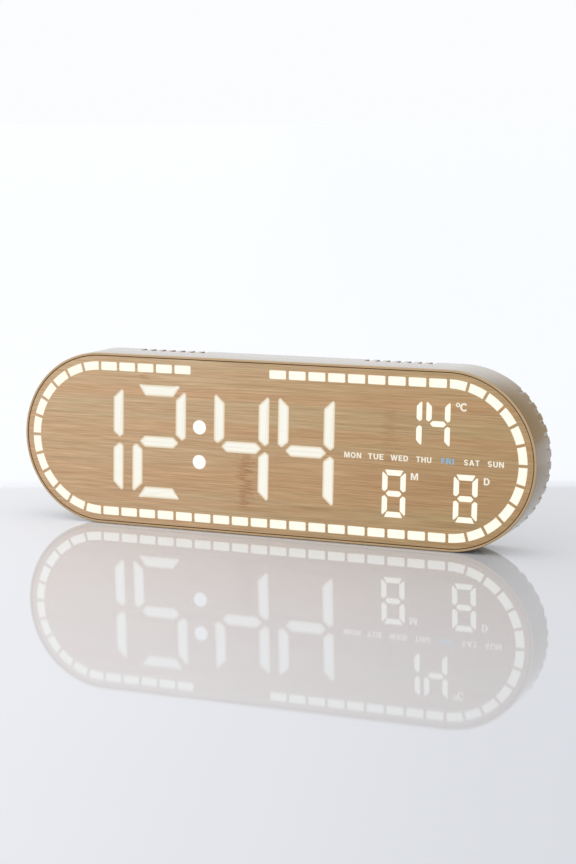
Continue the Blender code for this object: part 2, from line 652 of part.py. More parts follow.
def make_thermistor(behind):
    """A bead on a short stem, at the board's lower edge."""
    radius, length = SENSOR_STEM
    x, z = SENSOR_PLACE
    stem = rod("temperature_sensor", radius, behind, behind + length, SENSOR_PLACE, THERMISTOR)
    shape = bmesh.new()
    bmesh.ops.create_uvsphere(shape, u_segments=10, v_segments=6, radius=SENSOR_BEAD_RADIUS)
    bead = finished("thermistor_bead", shape, (x, behind + SENSOR_BEAD_RISE, z), None, smooth=True)
    cut(stem, [bead], "UNION")


def make_ribbon():
    """A flat cable, slanting up from the display board's connector to the control board's."""
    rise, half = CONNECTOR_SIZE[1] / 2, CONNECTOR_SIZE[2] / 2
    low = (DISPLAY_BACK_Y + GAP + rise, DISPLAY_CONNECTOR_Z + half + GAP)
    high = (CONTROL_FRONT_Y - GAP - rise, BOARD_CONNECTOR_Z - half - GAP)
    length = math.hypot(high[0] - low[0], high[1] - low[1])
    strip = box("ribbon_cable", (RIBBON_WIDTH, RIBBON_THICKNESS, length),
                (CONNECTOR_X, (low[0] + high[0]) / 2, (low[1] + high[1]) / 2), RIBBON)
    strip.rotation_euler = (-math.atan2(high[0] - low[0], high[1] - low[1]), 0.0, 0.0)


def make_battery():
    floor_y = CONTROL_BACK_Y + GAP
    rim_y = floor_y + HOLDER_HEIGHT
    seat_y = floor_y + HOLDER_FLOOR
    place = (CELL_X, CELL_Z)
    holder = rod("cell_holder", CELL_RADIUS + HOLDER_WALL, floor_y, rim_y, place, CONNECTOR, steps=24)
    cut(holder, [rod("cell_pocket", CELL_RADIUS + GAP, seat_y, rim_y + OVERRUN, place, steps=24)])
    cell_y = seat_y + GAP
    rod("coin_cell", CELL_RADIUS, cell_y, cell_y + CELL_THICKNESS, place, STEEL, steps=24)


def make_buttons():
    switch_front = CONTROL_BACK_Y + GAP
    switch_back = switch_front + SWITCH_HEIGHT
    plunger_tip = switch_back + PLUNGER_RISE
    flange_back = COVER_INNER_Y - GAP
    flange_front = flange_back - FLANGE_THICKNESS
    for n, label in enumerate(BUTTON_NAMES):
        place = (BUTTON_PITCH * (n - 2), BUTTON_Z)
        switch = box("switch_" + label, (SWITCH_SIZE, SWITCH_HEIGHT, SWITCH_SIZE),
                     (place[0], (switch_front + switch_back) / 2, place[1]), CHIP)
        pit_y = switch_front + SWITCH_FLOOR
        cut(switch, [rod(f"switch_{label}_pit", PLUNGER_RADIUS + GAP, pit_y, switch_back + OVERRUN, place)])
        rod("plunger_" + label, PLUNGER_RADIUS, pit_y + GAP + BUTTON_TRAVEL, plunger_tip, place,
            CONNECTOR)
        button = rod("button_" + label, BUTTON_RADIUS, flange_front, BUTTON_FACE_Y, place,
                     BUTTON_PLASTIC, steps=20)
        cut(button, [
            rod(f"button_{label}_flange", BUTTON_RADIUS + FLANGE_WIDTH, flange_front, flange_back, place,
                steps=20),
            rod(f"button_{label}_stem", PLUNGER_RADIUS, plunger_tip + GAP, flange_front + STEM_OVERLAP, place,
                steps=8),
        ], "UNION")


def make_socket():
    """A power socket: a flat rounded tube with a tongue, closed at its inner end."""
    width, height = USB_SIZE
    front, place = CONTROL_BACK_Y + GAP, (USB_X, USB_Z)
    half = (width - height) / 2
    socket = flat_solid("power_socket", [stadium(half, height / 2, 8, place)], front, USB_MOUTH_Y, STEEL)
    cut(socket, [flat_solid("socket_mouth", [stadium(half, height / 2 - USB_WALL, 8, place)],
                            front + USB_FLOOR, USB_MOUTH_Y + OVERRUN)])
    tongue_y = front + USB_TONGUE_ROOT + USB_TONGUE_SIZE[1] / 2
    cut(socket, [box("socket_tongue", USB_TONGUE_SIZE, (USB_X, tongue_y, USB_Z))], "UNION")


make_case()
make_feet()
make_display()
make_cover()
make_cap()
make_board()
make_ribbon()
make_battery()
make_buttons()
make_socket()
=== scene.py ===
"""Looks for the bamboo-fronted alarm clock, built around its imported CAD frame.

Metres, +Z up, the display faces -Y. Display layout is in pitches of the second marks, counted from
the middle of the face.
"""

import math

import bmesh
import bpy
from mathutils import Matrix, Vector


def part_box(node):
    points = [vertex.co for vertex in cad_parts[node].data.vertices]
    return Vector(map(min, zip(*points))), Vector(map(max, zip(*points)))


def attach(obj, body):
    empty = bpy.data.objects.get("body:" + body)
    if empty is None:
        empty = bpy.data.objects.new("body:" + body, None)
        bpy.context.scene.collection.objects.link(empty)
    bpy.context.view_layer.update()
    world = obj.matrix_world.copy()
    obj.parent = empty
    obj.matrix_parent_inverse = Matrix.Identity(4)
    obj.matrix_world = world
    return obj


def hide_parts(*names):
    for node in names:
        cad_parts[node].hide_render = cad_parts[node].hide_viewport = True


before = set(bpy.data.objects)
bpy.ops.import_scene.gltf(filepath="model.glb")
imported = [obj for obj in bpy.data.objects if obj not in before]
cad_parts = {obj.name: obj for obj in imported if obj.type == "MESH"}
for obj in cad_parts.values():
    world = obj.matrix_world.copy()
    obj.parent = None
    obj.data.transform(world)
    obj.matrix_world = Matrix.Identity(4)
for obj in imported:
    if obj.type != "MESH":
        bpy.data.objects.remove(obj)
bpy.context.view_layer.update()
scene = bpy.context.scene

# ---------------------------------------------------------------- dimensions, those of the CAD part
PITCH = 0.01133
HALF_STRAIGHT = 9 * PITCH
CASE_RADIUS = 4.24 * PITCH
CENTRE_Z = CASE_RADIUS + 0.0002
FRONT_Y = -0.014
BACK_Y = 0.014
LIP_RADIUS = 4.13 * PITCH
REAR_BORE_RADIUS = CASE_RADIUS - 0.0034
REBATE_RADIUS = CASE_RADIUS - 0.0022
PANEL_RADIUS = LIP_RADIUS - 0.0004
COVER_RADIUS = REBATE_RADIUS - 0.0003
COVER_SEAT_Y = 0.0113
COVER_INNER_Y = 0.0116
LEDGE_Y = -0.00205
PANEL_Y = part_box("bamboo_panel")[0].y
PANEL_BACK_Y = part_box("bamboo_panel")[1].y
BUTTONS = ("set", "minus", "plus", "alarm", "light")
ARC_STEPS = 72
LIT_FRONT_Y = PANEL_Y - 0.00003
LIT_BACK_Y = PANEL_Y + 0.00012

GROOVE_DEPTH = 0.0008
GROOVE_WIDTH = 0.0029
GROOVE_LENGTH = 0.0085
GROOVES_ON_TOP = 7  # in each group
GROOVES_ON_END = 13
GROOVE_GROUP = 5.92  # middle of a group, in pitches
GROOVE_PITCH = 0.53  # from groove to groove, in pitches
GROOVE_STEP = 8  # degrees

FOOT_X = 0.092
FOOT_Y = 0.0085
FOOT_POCKET = 0.0038
FOOT_POCKET_DEPTH = 0.0015

MARK_COUNT = 60
LIT_MARKS = 56
MARKS_PER_STRAIGHT = 18
MARKS_PER_END = 12
MARK_RADIUS = 3.60
MARK_LENGTH = 0.865
MARK_WIDTH = 0.425
MARK_ROUNDING = 0.07

VIEW_AZIMUTH = math.radians(23.183)
VIEW_ELEVATION = math.radians(8.711)
VIEW_ROLL = math.radians(0.09)
LENS = 86.67
CAMERA_PLACE = (39.378, -89.498, 15.814)  # in pitches, from the middle of the face


# ---------------------------------------------------------------- nodes and materials
class Nodes:
    """Short ways to add shader nodes to a tree."""

    def __init__(self, tree):
        self.tree = tree

    def put(self, target, value):
        """Gives an input its value, or links it from a socket; a colour comes without its alpha."""
        if isinstance(value, bpy.types.NodeSocket):
            self.tree.links.new(value, target)
        elif target.type == "RGBA":
            target.default_value = (*value, 1.0)
        else:
            target.default_value = value

    def node(self, kind, inputs=None, **settings):
        made = self.tree.nodes.new("ShaderNode" + kind)
        for key, value in settings.items():
            setattr(made, key, value)
        for key, value in (inputs or {}).items():
            self.put(made.inputs[key], value)
        return made

    def place(self, scale=(1, 1, 1)):
        """The point on the piece, in metres, scaled: a large scale makes small detail."""
        coordinates = self.node("TexCoord").outputs["Object"]
        return self.node("Mapping", {"Vector": coordinates, "Scale": scale}).outputs[0]

    def noise(self, scale, detail=3.0, rough=0.55, at=None):
        vector = self.place(scale) if at is None else at
        return self.node("TexNoise", {"Vector": vector, "Scale": 1.0, "Detail": detail,
                                      "Roughness": rough}).outputs["Fac"]

    def calc(self, operation, a, b=0.0):
        return self.node("Math", {0: a, 1: b}, operation=operation).outputs[0]

    def remap(self, value, low, high, to_low=0.0, to_high=1.0):
        return self.node("MapRange", {"Value": value, "From Min": low, "From Max": high, "To Min": to_low,
                                      "To Max": to_high}, interpolation_type="SMOOTHSTEP").outputs[0]

    def mix(self, factor, a, b, blend="MIX"):
        return self.node("Mix", {0: factor, 6: a, 7: b}, data_type="RGBA", blend_type=blend).outputs[2]


class Finish(Nodes):
    """A Principled material."""

    def __init__(self, name, color, roughness, **values):
        self.material = bpy.data.materials.new(name)
        self.material.use_nodes = True
        super().__init__(self.material.node_tree)
        self.shader = self.tree.nodes["Principled BSDF"]
        self.set("Base Color", color)
        self.set("Roughness", roughness)
        for socket, value in values.items():
            self.set(socket.replace("_", " "), value)

    def set(self, socket, value):
        self.put(self.shader.inputs[socket], value)

    def bump(self, height, strength, distance):
        normal = self.node("Bump", {"Height": height, "Strength": strength, "Distance": distance})
        self.set("Normal", normal.outputs[0])


def moulded(name, color, roughness, grain=6000.0, depth=0.00002, spread=0.12, **values):
    """Moulded plastic: a fine eroded grain with slight cloudiness in colour and gloss."""
    made = Finish(name, color, roughness, **values)
    cloud = made.noise((90, 90, 90), 4.0)
    fine = made.noise((grain, grain, grain), 2.0)
    dark = tuple(c * (1 - spread) for c in color)
    light = tuple(min(1.0, c * (1 + spread)) for c in color)
    made.set("Base Color", made.mix(made.remap(cloud, 0.3, 0.7), dark, light))
    made.set("Roughness", made.remap(fine, 0.2, 0.8, roughness - 0.06, roughness + 0.08))
    made.bump(fine, 0.5, depth)
    return made.material


def metal(name, color, roughness, scale, depth=0.000004, **values):
    """Plated or drawn metal: fine lines along the directions where scale is small."""
    made = Finish(name, color, roughness, Metallic=1.0, **values)
    lines = made.noise(scale, 4.0, 0.65)
    tarnish = made.noise((150, 150, 150), 3.0)
    dark = tuple(c * 0.82 for c in color)
    made.set("Base Color", made.mix(made.remap(tarnish, 0.35, 0.75), color, dark))
    made.set("Roughness", made.remap(lines, 0.25, 0.75, roughness - 0.08, roughness + 0.12))
    made.bump(lines, 0.4, depth)
    return made.material


def case_paint(name, color, metallic, roughness, coat):
    """Metallic paint over a moulded shell, under a thin lacquer: fine flake and a faint orange peel."""
    made = Finish(name, color, roughness, Metallic=metallic, Coat_Weight=coat, Coat_Roughness=0.18)
    flake = made.noise((5200, 5200, 5200), 2.0, 0.6)
    cloud = made.noise((35, 60, 35), 3.0)
    tone = made.mix(1.0, color, made.mix(made.remap(flake, 0.3, 0.7), (0.96, 0.96, 0.96), (1.04, 1.04, 1.04)),
                    "MULTIPLY")
    made.set("Base Color", made.mix(made.remap(cloud, 0.3, 0.7, 0.0, 0.03), tone, (0.75, 0.70, 0.62)))
    made.set("Roughness", made.remap(flake, 0.25, 0.75, roughness - 0.04, roughness + 0.06))
    made.bump(made.noise((700, 700, 700), 3.0), 0.25, 0.00002)
    return made.material


# Nodes of the bamboo: middle x, lowest and highest z in pitches, half width in metres, strength.
KNOTS = ((-1.2, -2.9, -0.3, 0.0028, 0.95), (6.2, -0.3, 2.3, 0.0030, 0.50), (-6.6, 2.9, 4.0, 0.0024, 0.55),
         (-1.5, 2.4, 2.9, 0.0024, 0.22), (9.9, 2.20, 2.35, 0.0110, 0.35))
KNOT_FADE = 0.003


def bamboo(name):
    """Clear-coated veneer of laminated bamboo strips, with fibres along X and a few nodes."""
    made = Finish(name, (0.55, 0.36, 0.19), 0.42, Coat_Weight=0.12, Coat_Roughness=0.25)
    coordinates = made.node("TexCoord").outputs["Object"]
    split = made.node("SeparateXYZ", {0: coordinates})
    x = split.outputs[0]
    z = made.calc("SUBTRACT", split.outputs[2], CENTRE_Z)
    height = made.calc("ADD", z, made.calc("MULTIPLY", made.noise((8, 0, 60), 2.0), 0.0012))
    grain = made.node("CombineXYZ", {0: x, 1: 0.0, 2: height}).outputs[0]

    def fibres(along, across, detail, shift):
        at = made.node("Mapping", {"Vector": grain, "Scale": (along, 1, across), "Location": shift})
        return made.noise(None, detail, 0.6, at=at.outputs[0])

    def tinted(color, value, low, high, dark, light):
        """Multiplies by a tint that runs from dark to light as value runs from low to high."""
        return made.mix(1.0, color, made.mix(made.remap(value, low, high), dark, light), "MULTIPLY")

    # Lighter at the left end and darker towards the right: a painted shade across the face.
    color = made.mix(made.remap(x, -0.10, 0.15), (0.665, 0.455, 0.262), (0.570, 0.378, 0.183))
    strip = made.node("TexVoronoi", {"W": made.calc("MULTIPLY", height, 150.0), "Scale": 1.0,
                                     "Smoothness": 0.5}, voronoi_dimensions="1D", feature="SMOOTH_F1")
    tone = made.node("SeparateColor", {0: strip.outputs["Color"]})
    length = made.node("CombineXYZ", {0: made.calc("MULTIPLY", x, 7.0), 1: 0.0,
                                      2: made.calc("MULTIPLY", height, 150.0)}).outputs[0]
    patch = made.noise(None, 1.0, 0.5, at=length)
    warm = made.calc("ADD", made.calc("MULTIPLY", tone.outputs[0], 0.4), patch)
    color = tinted(color, warm, 0.40, 0.95, (1.03, 0.945, 0.90), (0.99, 1.03, 1.03))
    band = fibres(13, 560, 2.0, (1.3, 0, 4.1))
    color = tinted(color, band, 0.30, 0.70, (0.92, 0.89, 0.86), (1.04, 1.05, 1.06))
    streak = fibres(26, 1750, 2.0, (7.7, 0, 2.4))
    color = tinted(color, streak, 0.32, 0.70, (0.85, 0.81, 0.77), (1.10, 1.13, 1.16))
    fine = fibres(60, 3600, 2.0, (3.1, 0, 9.2))
    color = tinted(color, fine, 0.36, 0.64, (1.05, 1.06, 1.07), (0.91, 0.88, 0.85))
    for middle, low, high, width, strength in KNOTS:
        zigzag = made.calc("SUBTRACT", fibres(0, 520, 3.0, (middle, 0, 1.7)), 0.5)
        wander = made.calc("MULTIPLY", zigzag, 7.0 * width)
        away = made.calc("ABSOLUTE", made.calc("ADD", made.calc("SUBTRACT", x, middle * PITCH), wander))
        ragged = made.remap(away, 0.55 * width, 0.15 * width)
        spread = made.remap(away, 2.0 * width, 0.4 * width)
        dashes = made.remap(fibres(130, 1500, 2.0, (middle, 0, 5.5)), 0.44, 0.56)
        mark = made.calc("MAXIMUM", made.calc("MULTIPLY", ragged, made.remap(dashes, 0.0, 1.0, 0.20, 0.75)),
                         made.calc("MULTIPLY", spread, made.remap(dashes, 0.0, 1.0, 0.08, 0.8)))
        below = made.remap(z, low * PITCH - KNOT_FADE, low * PITCH + KNOT_FADE, 0.0, strength)
        above = made.remap(z, high * PITCH + KNOT_FADE, high * PITCH - KNOT_FADE)
        mask = made.calc("MULTIPLY", mark, made.calc("MULTIPLY", below, above))
        color = made.mix(mask, color, (0.42, 0.185, 0.075))
    made.set("Base Color", color)
    made.set("Roughness", made.remap(streak, 0.3, 0.7, 0.36, 0.50))
    made.bump(made.calc("ADD", fine, streak), 0.22, 0.00003)
    return made.material


def glowing(name, core, edge, strength):
    """Light seen through the veneer: warmer at the outline, with faint fibre shadows."""
    made = Finish(name, (0.04, 0.04, 0.035), 0.5, Coat_Weight=0.05)
    inner = made.node("Attribute", attribute_name="core").outputs["Fac"]
    fibre = made.noise((60, 1, 1900), 3.0)
    color = made.mix(made.remap(inner, 0.0, 1.0), edge, core)
    shaded = made.mix(made.remap(fibre, 0.45, 0.75, 0.0, 0.10), color, tuple(0.80 * c for c in edge))
    made.set("Emission Color", shaded)
    made.set("Emission Strength", strength)
    return made.material


def circuit(name, board, track):
    """Solder mask over copper: rounded tracks show as slightly lighter, raised lines."""
    made = Finish(name, board, 0.38, Coat_Weight=0.4, Coat_Roughness=0.1)
    cells = made.node("TexVoronoi", {"Vector": made.place((260, 1, 260)), "Scale": 1.0, "Randomness": 0.55},
                      distance="CHEBYCHEV", feature="DISTANCE_TO_EDGE")
    lines = made.remap(cells.outputs["Distance"], 0.10, 0.05)
    cloud = made.noise((120, 120, 120), 3.0)
    base = made.mix(made.remap(cloud, 0.3, 0.7), board, tuple(c * 0.85 for c in board))
    made.set("Base Color", made.mix(made.calc("MULTIPLY", lines, 0.6), base, track))
    made.bump(lines, 0.3, 0.00003)
    return made.material


def striped(name, base, line, pitch, width):
    """Flat conductors in a clear film, side by side along X."""
    made = Finish(name, base, 0.3, Coat_Weight=0.5, Coat_Roughness=0.08)
    split = made.node("SeparateXYZ", {0: made.place()})
    saw = made.calc("PINGPONG", split.outputs[0], pitch / 2)
    stripe = made.remap(saw, width / 2 + 0.0001, width / 2 - 0.0001)
    haze = made.noise((400, 400, 400), 3.0)
    tinted = made.mix(made.remap(haze, 0.3, 0.7, 0.0, 0.2), base, tuple(c * 0.8 for c in base))
    made.set("Base Color", made.mix(stripe, tinted, line))
    made.bump(stripe, 0.3, 0.00003)
    return made.material


def floor_finish(name):
    """Pale glossy table top that turns into a white backdrop behind the clock.

    The backdrop shines a little, less so beyond the clock's right end.
    """
    made = Finish(name, (0.74, 0.75, 0.79), 0.03, IOR=1.45)
    split = made.node("SeparateXYZ", {0: made.place()})
    along = made.calc("ADD", made.calc("MULTIPLY", split.outputs[0], -math.sin(VIEW_AZIMUTH)),
                      made.calc("MULTIPLY", split.outputs[1], math.cos(VIEW_AZIMUTH)))
    across = made.calc("ADD", made.calc("MULTIPLY", split.outputs[0], math.cos(VIEW_AZIMUTH)),
                       made.calc("MULTIPLY", split.outputs[1], math.sin(VIEW_AZIMUTH)))
    behind = made.remap(along, 0.13, 0.17)
    side = made.remap(across, -0.18, 0.22)
    haze = made.noise((3, 3, 3), 2.0)
    # The table top is painted darker towards the right, a painted shade; the backdrop's glow dims there too.
    table = made.mix(side, (0.825, 0.84, 0.885), (0.63, 0.65, 0.69))
    table = made.mix(made.remap(haze, 0.3, 0.7, 0.0, 0.04), table, (0.7, 0.7, 0.72))
    made.set("Base Color", made.mix(behind, table, (0.60, 0.605, 0.62)))
    made.set("Roughness", made.remap(behind, 0.0, 1.0, 0.03, 0.6))
    glow = made.mix(side, (0.91, 0.95, 0.995), (0.865, 0.91, 0.98))
    made.set("Emission Color", glow)
    lit_part = made.calc("MULTIPLY", behind, made.remap(split.outputs[0], 0.14, 0.26, 0.395, 0.12))
    made.set("Emission Strength", lit_part)
    return made.material


# ---------------------------------------------------------------- shapes
def shade(mesh, angle):
    """Smooth shading, with a sharp edge wherever faces meet at more than the angle, in degrees."""
    mesh.shade_smooth()
    mesh.set_sharp_from_angle(angle=math.radians(angle))


def piece(name, shape, body, finishes, smooth=40.0):
    """A bmesh made into a named object, which rides on a body if one is given."""
    mesh = bpy.data.meshes.new(name)
    bmesh.ops.recalc_face_normals(shape, faces=shape.faces)
    shape.to_mesh(mesh)
    shape.free()
    for finish in finishes:
        mesh.materials.append(finish)
    shade(mesh, smooth)
    made = bpy.data.objects.new(name, mesh)
    scene.collection.objects.link(made)
    if body:
        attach(made, body)
    return made


def boolean(target, tools, operation="DIFFERENCE"):
    """Applies one exact Boolean per call, with every tool at once, and removes the tools."""
    group = bpy.data.collections.new("tools")
    for tool in tools:
        group.objects.link(tool)
    step = target.modifiers.new("step", "BOOLEAN")
    step.operation = operation
    step.operand_type = "COLLECTION"
    step.collection = group
    step.solver = "EXACT"
    bpy.context.view_layer.update()
    result = bpy.data.meshes.new_from_object(target.evaluated_get(bpy.context.evaluated_depsgraph_get()))
    target.modifiers.clear()
    old = target.data
    target.data = result
    result.name = old.name
    bpy.data.meshes.remove(old)
    for tool in tools:
        bpy.data.objects.remove(tool, do_unlink=True)
    bpy.data.collections.remove(group)


def tool_object(shape):
    """A cutter, in no collection but the Boolean's."""
    bmesh.ops.recalc_face_normals(shape, faces=shape.faces)
    mesh = bpy.data.meshes.new("tool")
    shape.to_mesh(mesh)
    shape.free()
    return bpy.data.objects.new("tool", mesh)


def absorb(shape, part):
    """Adds a second bmesh to the first, and frees it."""
    mesh = bpy.data.meshes.new("part")
    part.to_mesh(mesh)
    part.free()
    shape.from_mesh(mesh)
    bpy.data.meshes.remove(mesh)


def arc(centre, radius, start, end, steps):
    """Points of an arc; angles in degrees."""
    angles = [math.radians(start + (end - start) * n / steps) for n in range(steps + 1)]
    return [(centre[0] + radius * math.cos(a), centre[1] + radius * math.sin(a)) for a in angles]


def stadium(half, radius, steps=ARC_STEPS, centre=(0.0, 0.0)):
    return (arc((centre[0] + half, centre[1]), radius, -90, 90, steps)
            + arc((centre[0] - half, centre[1]), radius, 90, 270, steps))


def circle(radius, steps=48, centre=(0.0, 0.0)):
    return arc(centre, radius, 0, 360, steps)[:-1]


def rectangle(width, height, centre=(0.0, 0.0)):
    return [(centre[0] + width * u, centre[1] + height * v)
            for u, v in ((-0.5, -0.5), (0.5, -0.5), (0.5, 0.5), (-0.5, 0.5))]


def rounded(points, radius, steps=3):
    """A convex outline with its corners rounded."""
    made = []
    count = len(points)
    for n in range(count):
        before, corner, after = (Vector(points[(n + k) % count]) for k in (-1, 0, 1))
        reach = min(radius, 0.45 * (before - corner).length, 0.45 * (after - corner).length)
        start = corner + (before - corner).normalized() * reach
        end = corner + (after - corner).normalized() * reach
        for step in range(steps + 1):
            t = step / steps
            made.append(tuple((1 - t) ** 2 * start + 2 * t * (1 - t) * corner + t ** 2 * end))
    return made


def bridge(shape, rings, indices=None):
    """Joins each ring of vertices to the next by a band of faces; a ring of one vertex is a tip."""
    for a, b in zip(rings, rings[1:]):
        count = max(len(a), len(b))
        for n in range(count):
            m = (n + 1) % count
            corners = [a[n % len(a)], a[m % len(a)], b[m % len(b)], b[n % len(b)]]
            face = shape.faces.new([v for k, v in enumerate(corners) if v not in corners[:k]])
            if indices:
                face.material_index = indices[n]


def capped(levels):
    """A closed bmesh through loops of points, with a flat face over the first and the last."""
    shape = bmesh.new()
    rings = [[shape.verts.new(point) for point in level] for level in levels]
    bridge(shape, rings)
    shape.faces.new(rings[0])
    shape.faces.new(rings[-1])
    return shape


def swept(profile, indices):
    """A closed ring: the profile, a list of (radius, y), carried round the case's outline."""
    shape = bmesh.new()
    rings = []
    for side, start in ((1, -90), (-1, 90)):
        for step in range(ARC_STEPS + 1):
            turn = math.radians(start + 180 * step / ARC_STEPS)
            rings.append([shape.verts.new((side * HALF_STRAIGHT + r * math.cos(turn), y,
                                           CENTRE_Z + r * math.sin(turn))) for r, y in profile])
    bridge(shape, rings + rings[:1], indices)
    return shape


def turned(profile, centre, steps=48):
    """A solid of revolution about a line along Y; the profile runs from axis to axis."""
    shape = bmesh.new()
    rings = []
    for r, y in profile:
        loop = circle(r, steps, centre) if r > 1e-9 else [centre]
        rings.append([shape.verts.new((x, y, z)) for x, z in loop])
    bridge(shape, rings)
    return shape


def plate(outlines, y_front, y_back, edge=0.0, edge_steps=2):
    """A mesh plate in the plane of the face with rounded edges; later outlines are holes in it."""
    curve = bpy.data.curves.new("plate", "CURVE")
    curve.dimensions = "2D"
    for outline in outlines:
        spline = curve.splines.new("POLY")
        spline.points.add(len(outline) - 1)
        for point, (x, z) in zip(spline.points, outline):
            point.co = (x, z, 0.0, 1.0)
        spline.use_cyclic_u = True
    curve.fill_mode = "BOTH"
    curve.bevel_depth = edge
    curve.bevel_resolution = edge_steps
    curve.offset = -edge
    curve.extrude = (y_back - y_front) / 2 - edge
    drawn = bpy.data.objects.new("plate", curve)
    scene.collection.objects.link(drawn)
    drawn.rotation_euler = (math.pi / 2, 0.0, 0.0)
    drawn.location = (0.0, (y_front + y_back) / 2, CENTRE_Z)
    bpy.context.view_layer.update()
    mesh = bpy.data.meshes.new_from_object(drawn.evaluated_get(bpy.context.evaluated_depsgraph_get()))
    shape = bmesh.new()
    shape.from_mesh(mesh)
    shape.transform(drawn.matrix_world)
    bmesh.ops.remove_doubles(shape, verts=shape.verts, dist=1e-6)
    bpy.data.objects.remove(drawn, do_unlink=True)
    bpy.data.curves.remove(curve)
    bpy.data.meshes.remove(mesh)
    return shape


def slab(shape, outline, y_front, y_back, border=0.0):
    """Adds a thin closed slab to a bmesh. With a border its front has a ring along the outline."""
    core = shape.verts.layers.float.get("core") or shape.verts.layers.float.new("core")
    front = [shape.verts.new((x, y_front, CENTRE_Z + z)) for x, z in outline]
    back = [shape.verts.new((x, y_back, CENTRE_Z + z)) for x, z in outline]
    face = shape.faces.new(front)
    shape.faces.new(list(reversed(back)))
    for n in range(len(outline)):
        m = (n + 1) % len(outline)
        shape.faces.new((front[n], back[n], back[m], front[m]))
    if border:
        shape.normal_update()
        bmesh.ops.inset_individual(shape, faces=[face], thickness=border, use_even_offset=True)
        for vertex in face.verts:
            vertex[core] = 1.0


def ellipse(centre, reach, start, end, steps=12):
    """Points of an arc of an ellipse; reach is its half width and half height."""
    return [(centre[0] + reach[0] * math.cos(math.radians(start + (end - start) * n / steps)),
             centre[1] + reach[1] * math.sin(math.radians(start + (end - start) * n / steps)))
            for n in range(steps + 1)]


def thick(line, half):
    """The outline of an open line drawn with a pen twice as wide as half."""
    sides = []
    for sign in (1, -1):
        side = []
        for n, point in enumerate(line):
            before, after = Vector(line[max(0, n - 1)]), Vector(line[min(len(line) - 1, n + 1)])
            along = (after - before).normalized()
            side.append((point[0] - sign * half * along.y, point[1] + sign * half * along.x))
        sides.append(side)
    return sides[0] + sides[1][::-1]


# Bold capitals, one cap height tall: each is its width and its outlines; after the first come holes.
LETTERS = {
    "M": (0.92, [[(0, 0), (0, 1), (0.27, 1), (0.46, 0.36), (0.65, 1), (0.92, 1), (0.92, 0), (0.73, 0),
                  (0.73, 0.70), (0.53, 0), (0.39, 0), (0.19, 0.70), (0.19, 0)]]),
    "N": (0.76, [[(0, 0), (0, 1), (0.21, 1), (0.56, 0.36), (0.56, 1), (0.76, 1), (0.76, 0), (0.55, 0),
                  (0.20, 0.64), (0.20, 0)]]),
    "T": (0.68, [[(0.235, 0), (0.235, 0.82), (0, 0.82), (0, 1), (0.68, 1), (0.68, 0.82), (0.445, 0.82),
                  (0.445, 0)]]),
    "E": (0.62, [[(0, 0), (0, 1), (0.61, 1), (0.61, 0.82), (0.21, 0.82), (0.21, 0.60), (0.56, 0.60),
                  (0.56, 0.43), (0.21, 0.43), (0.21, 0.18), (0.62, 0.18), (0.62, 0)]]),
    "F": (0.57, [[(0, 0), (0, 1), (0.57, 1), (0.57, 0.82), (0.21, 0.82), (0.21, 0.59), (0.51, 0.59),
                  (0.51, 0.42), (0.21, 0.42), (0.21, 0)]]),
    "H": (0.76, [[(0, 0), (0, 1), (0.21, 1), (0.21, 0.61), (0.55, 0.61), (0.55, 1), (0.76, 1), (0.76, 0),
                  (0.55, 0), (0.55, 0.43), (0.21, 0.43), (0.21, 0)]]),
    "I": (0.21, [[(0, 0), (0, 1), (0.21, 1), (0.21, 0)]]),
    "W": (1.16, [[(0, 1), (0.21, 1), (0.34, 0.36), (0.48, 1), (0.68, 1), (0.82, 0.36), (0.95, 1), (1.16, 1),
                  (0.93, 0), (0.72, 0), (0.58, 0.66), (0.44, 0), (0.23, 0)]]),
    "A": (0.88, [[(0, 0), (0.33, 1), (0.55, 1), (0.88, 0), (0.66, 0), (0.59, 0.22), (0.29, 0.22), (0.22, 0)],
                 [(0.35, 0.39), (0.53, 0.39), (0.44, 0.68)]]),
    "D": (0.76, [[(0, 0), (0, 1)] + ellipse((0.34, 0.5), (0.42, 0.5), 90, -90),
                 [(0.21, 0.17), (0.21, 0.83)] + ellipse((0.32, 0.5), (0.22, 0.33), 90, -90)]),
    "O": (0.86, [ellipse((0.43, 0.5), (0.43, 0.5), 0, 345, 23),
                 ellipse((0.43, 0.5), (0.22, 0.31), 0, 345, 23)]),
    "U": (0.74, [[(0, 1)] + ellipse((0.37, 0.37), (0.37, 0.37), 180, 360) + [(0.74, 1), (0.53, 1)]
                 + ellipse((0.37, 0.36), (0.16, 0.18), 360, 180) + [(0.21, 1)]]),
    "C": (0.80, [ellipse((0.43, 0.5), (0.43, 0.5), 38, 322, 20)
                 + ellipse((0.43, 0.5), (0.21, 0.31), 322, 38, 20)]),
    "R": (0.80, [[(0, 0), (0, 1)] + ellipse((0.44, 0.70), (0.29, 0.30), 90, -60, 9)
                 + [(0.80, 0), (0.56, 0), (0.38, 0.40), (0.21, 0.40), (0.21, 0)],
                 [(0.21, 0.57), (0.21, 0.83)] + ellipse((0.42, 0.70), (0.11, 0.13), 90, -90, 8)]),
    "S": (0.68, [thick(ellipse((0.34, 0.70), (0.24, 0.21), 15, 260, 14)
                       + ellipse((0.34, 0.29), (0.24, 0.20), 80, -165, 14), 0.095)]),
}
LETTER_GAP = 0.17


def lettering(words, cap_height):
    """Outlines of words, in metres; each word is (text, middle x, middle z, width), in pitches."""
    outlines = []
    for text, x, z, width in words:
        length = sum(LETTERS[c][0] for c in text) + LETTER_GAP * (len(text) - 1)
        start = 0.0
        for c in text:
            advance, shapes = LETTERS[c]
            for shape in shapes:
                outlines.append([(PITCH * (x + ((start + u) / length - 0.5) * width),
                                  PITCH * (z + (v - 0.5) * cap_height)) for u, v in shape])
            start += advance + LETTER_GAP
    return outlines


def lit_signs(name, outlines, finish):
    """Small lit signs, flat in the veneer's face."""
    shape = plate(outlines, LIT_FRONT_Y, LIT_BACK_Y)
    core = shape.verts.layers.float.new("core")
    for vertex in shape.verts:
        vertex[core] = 1.0
    return piece(name, shape, "root", [finish])


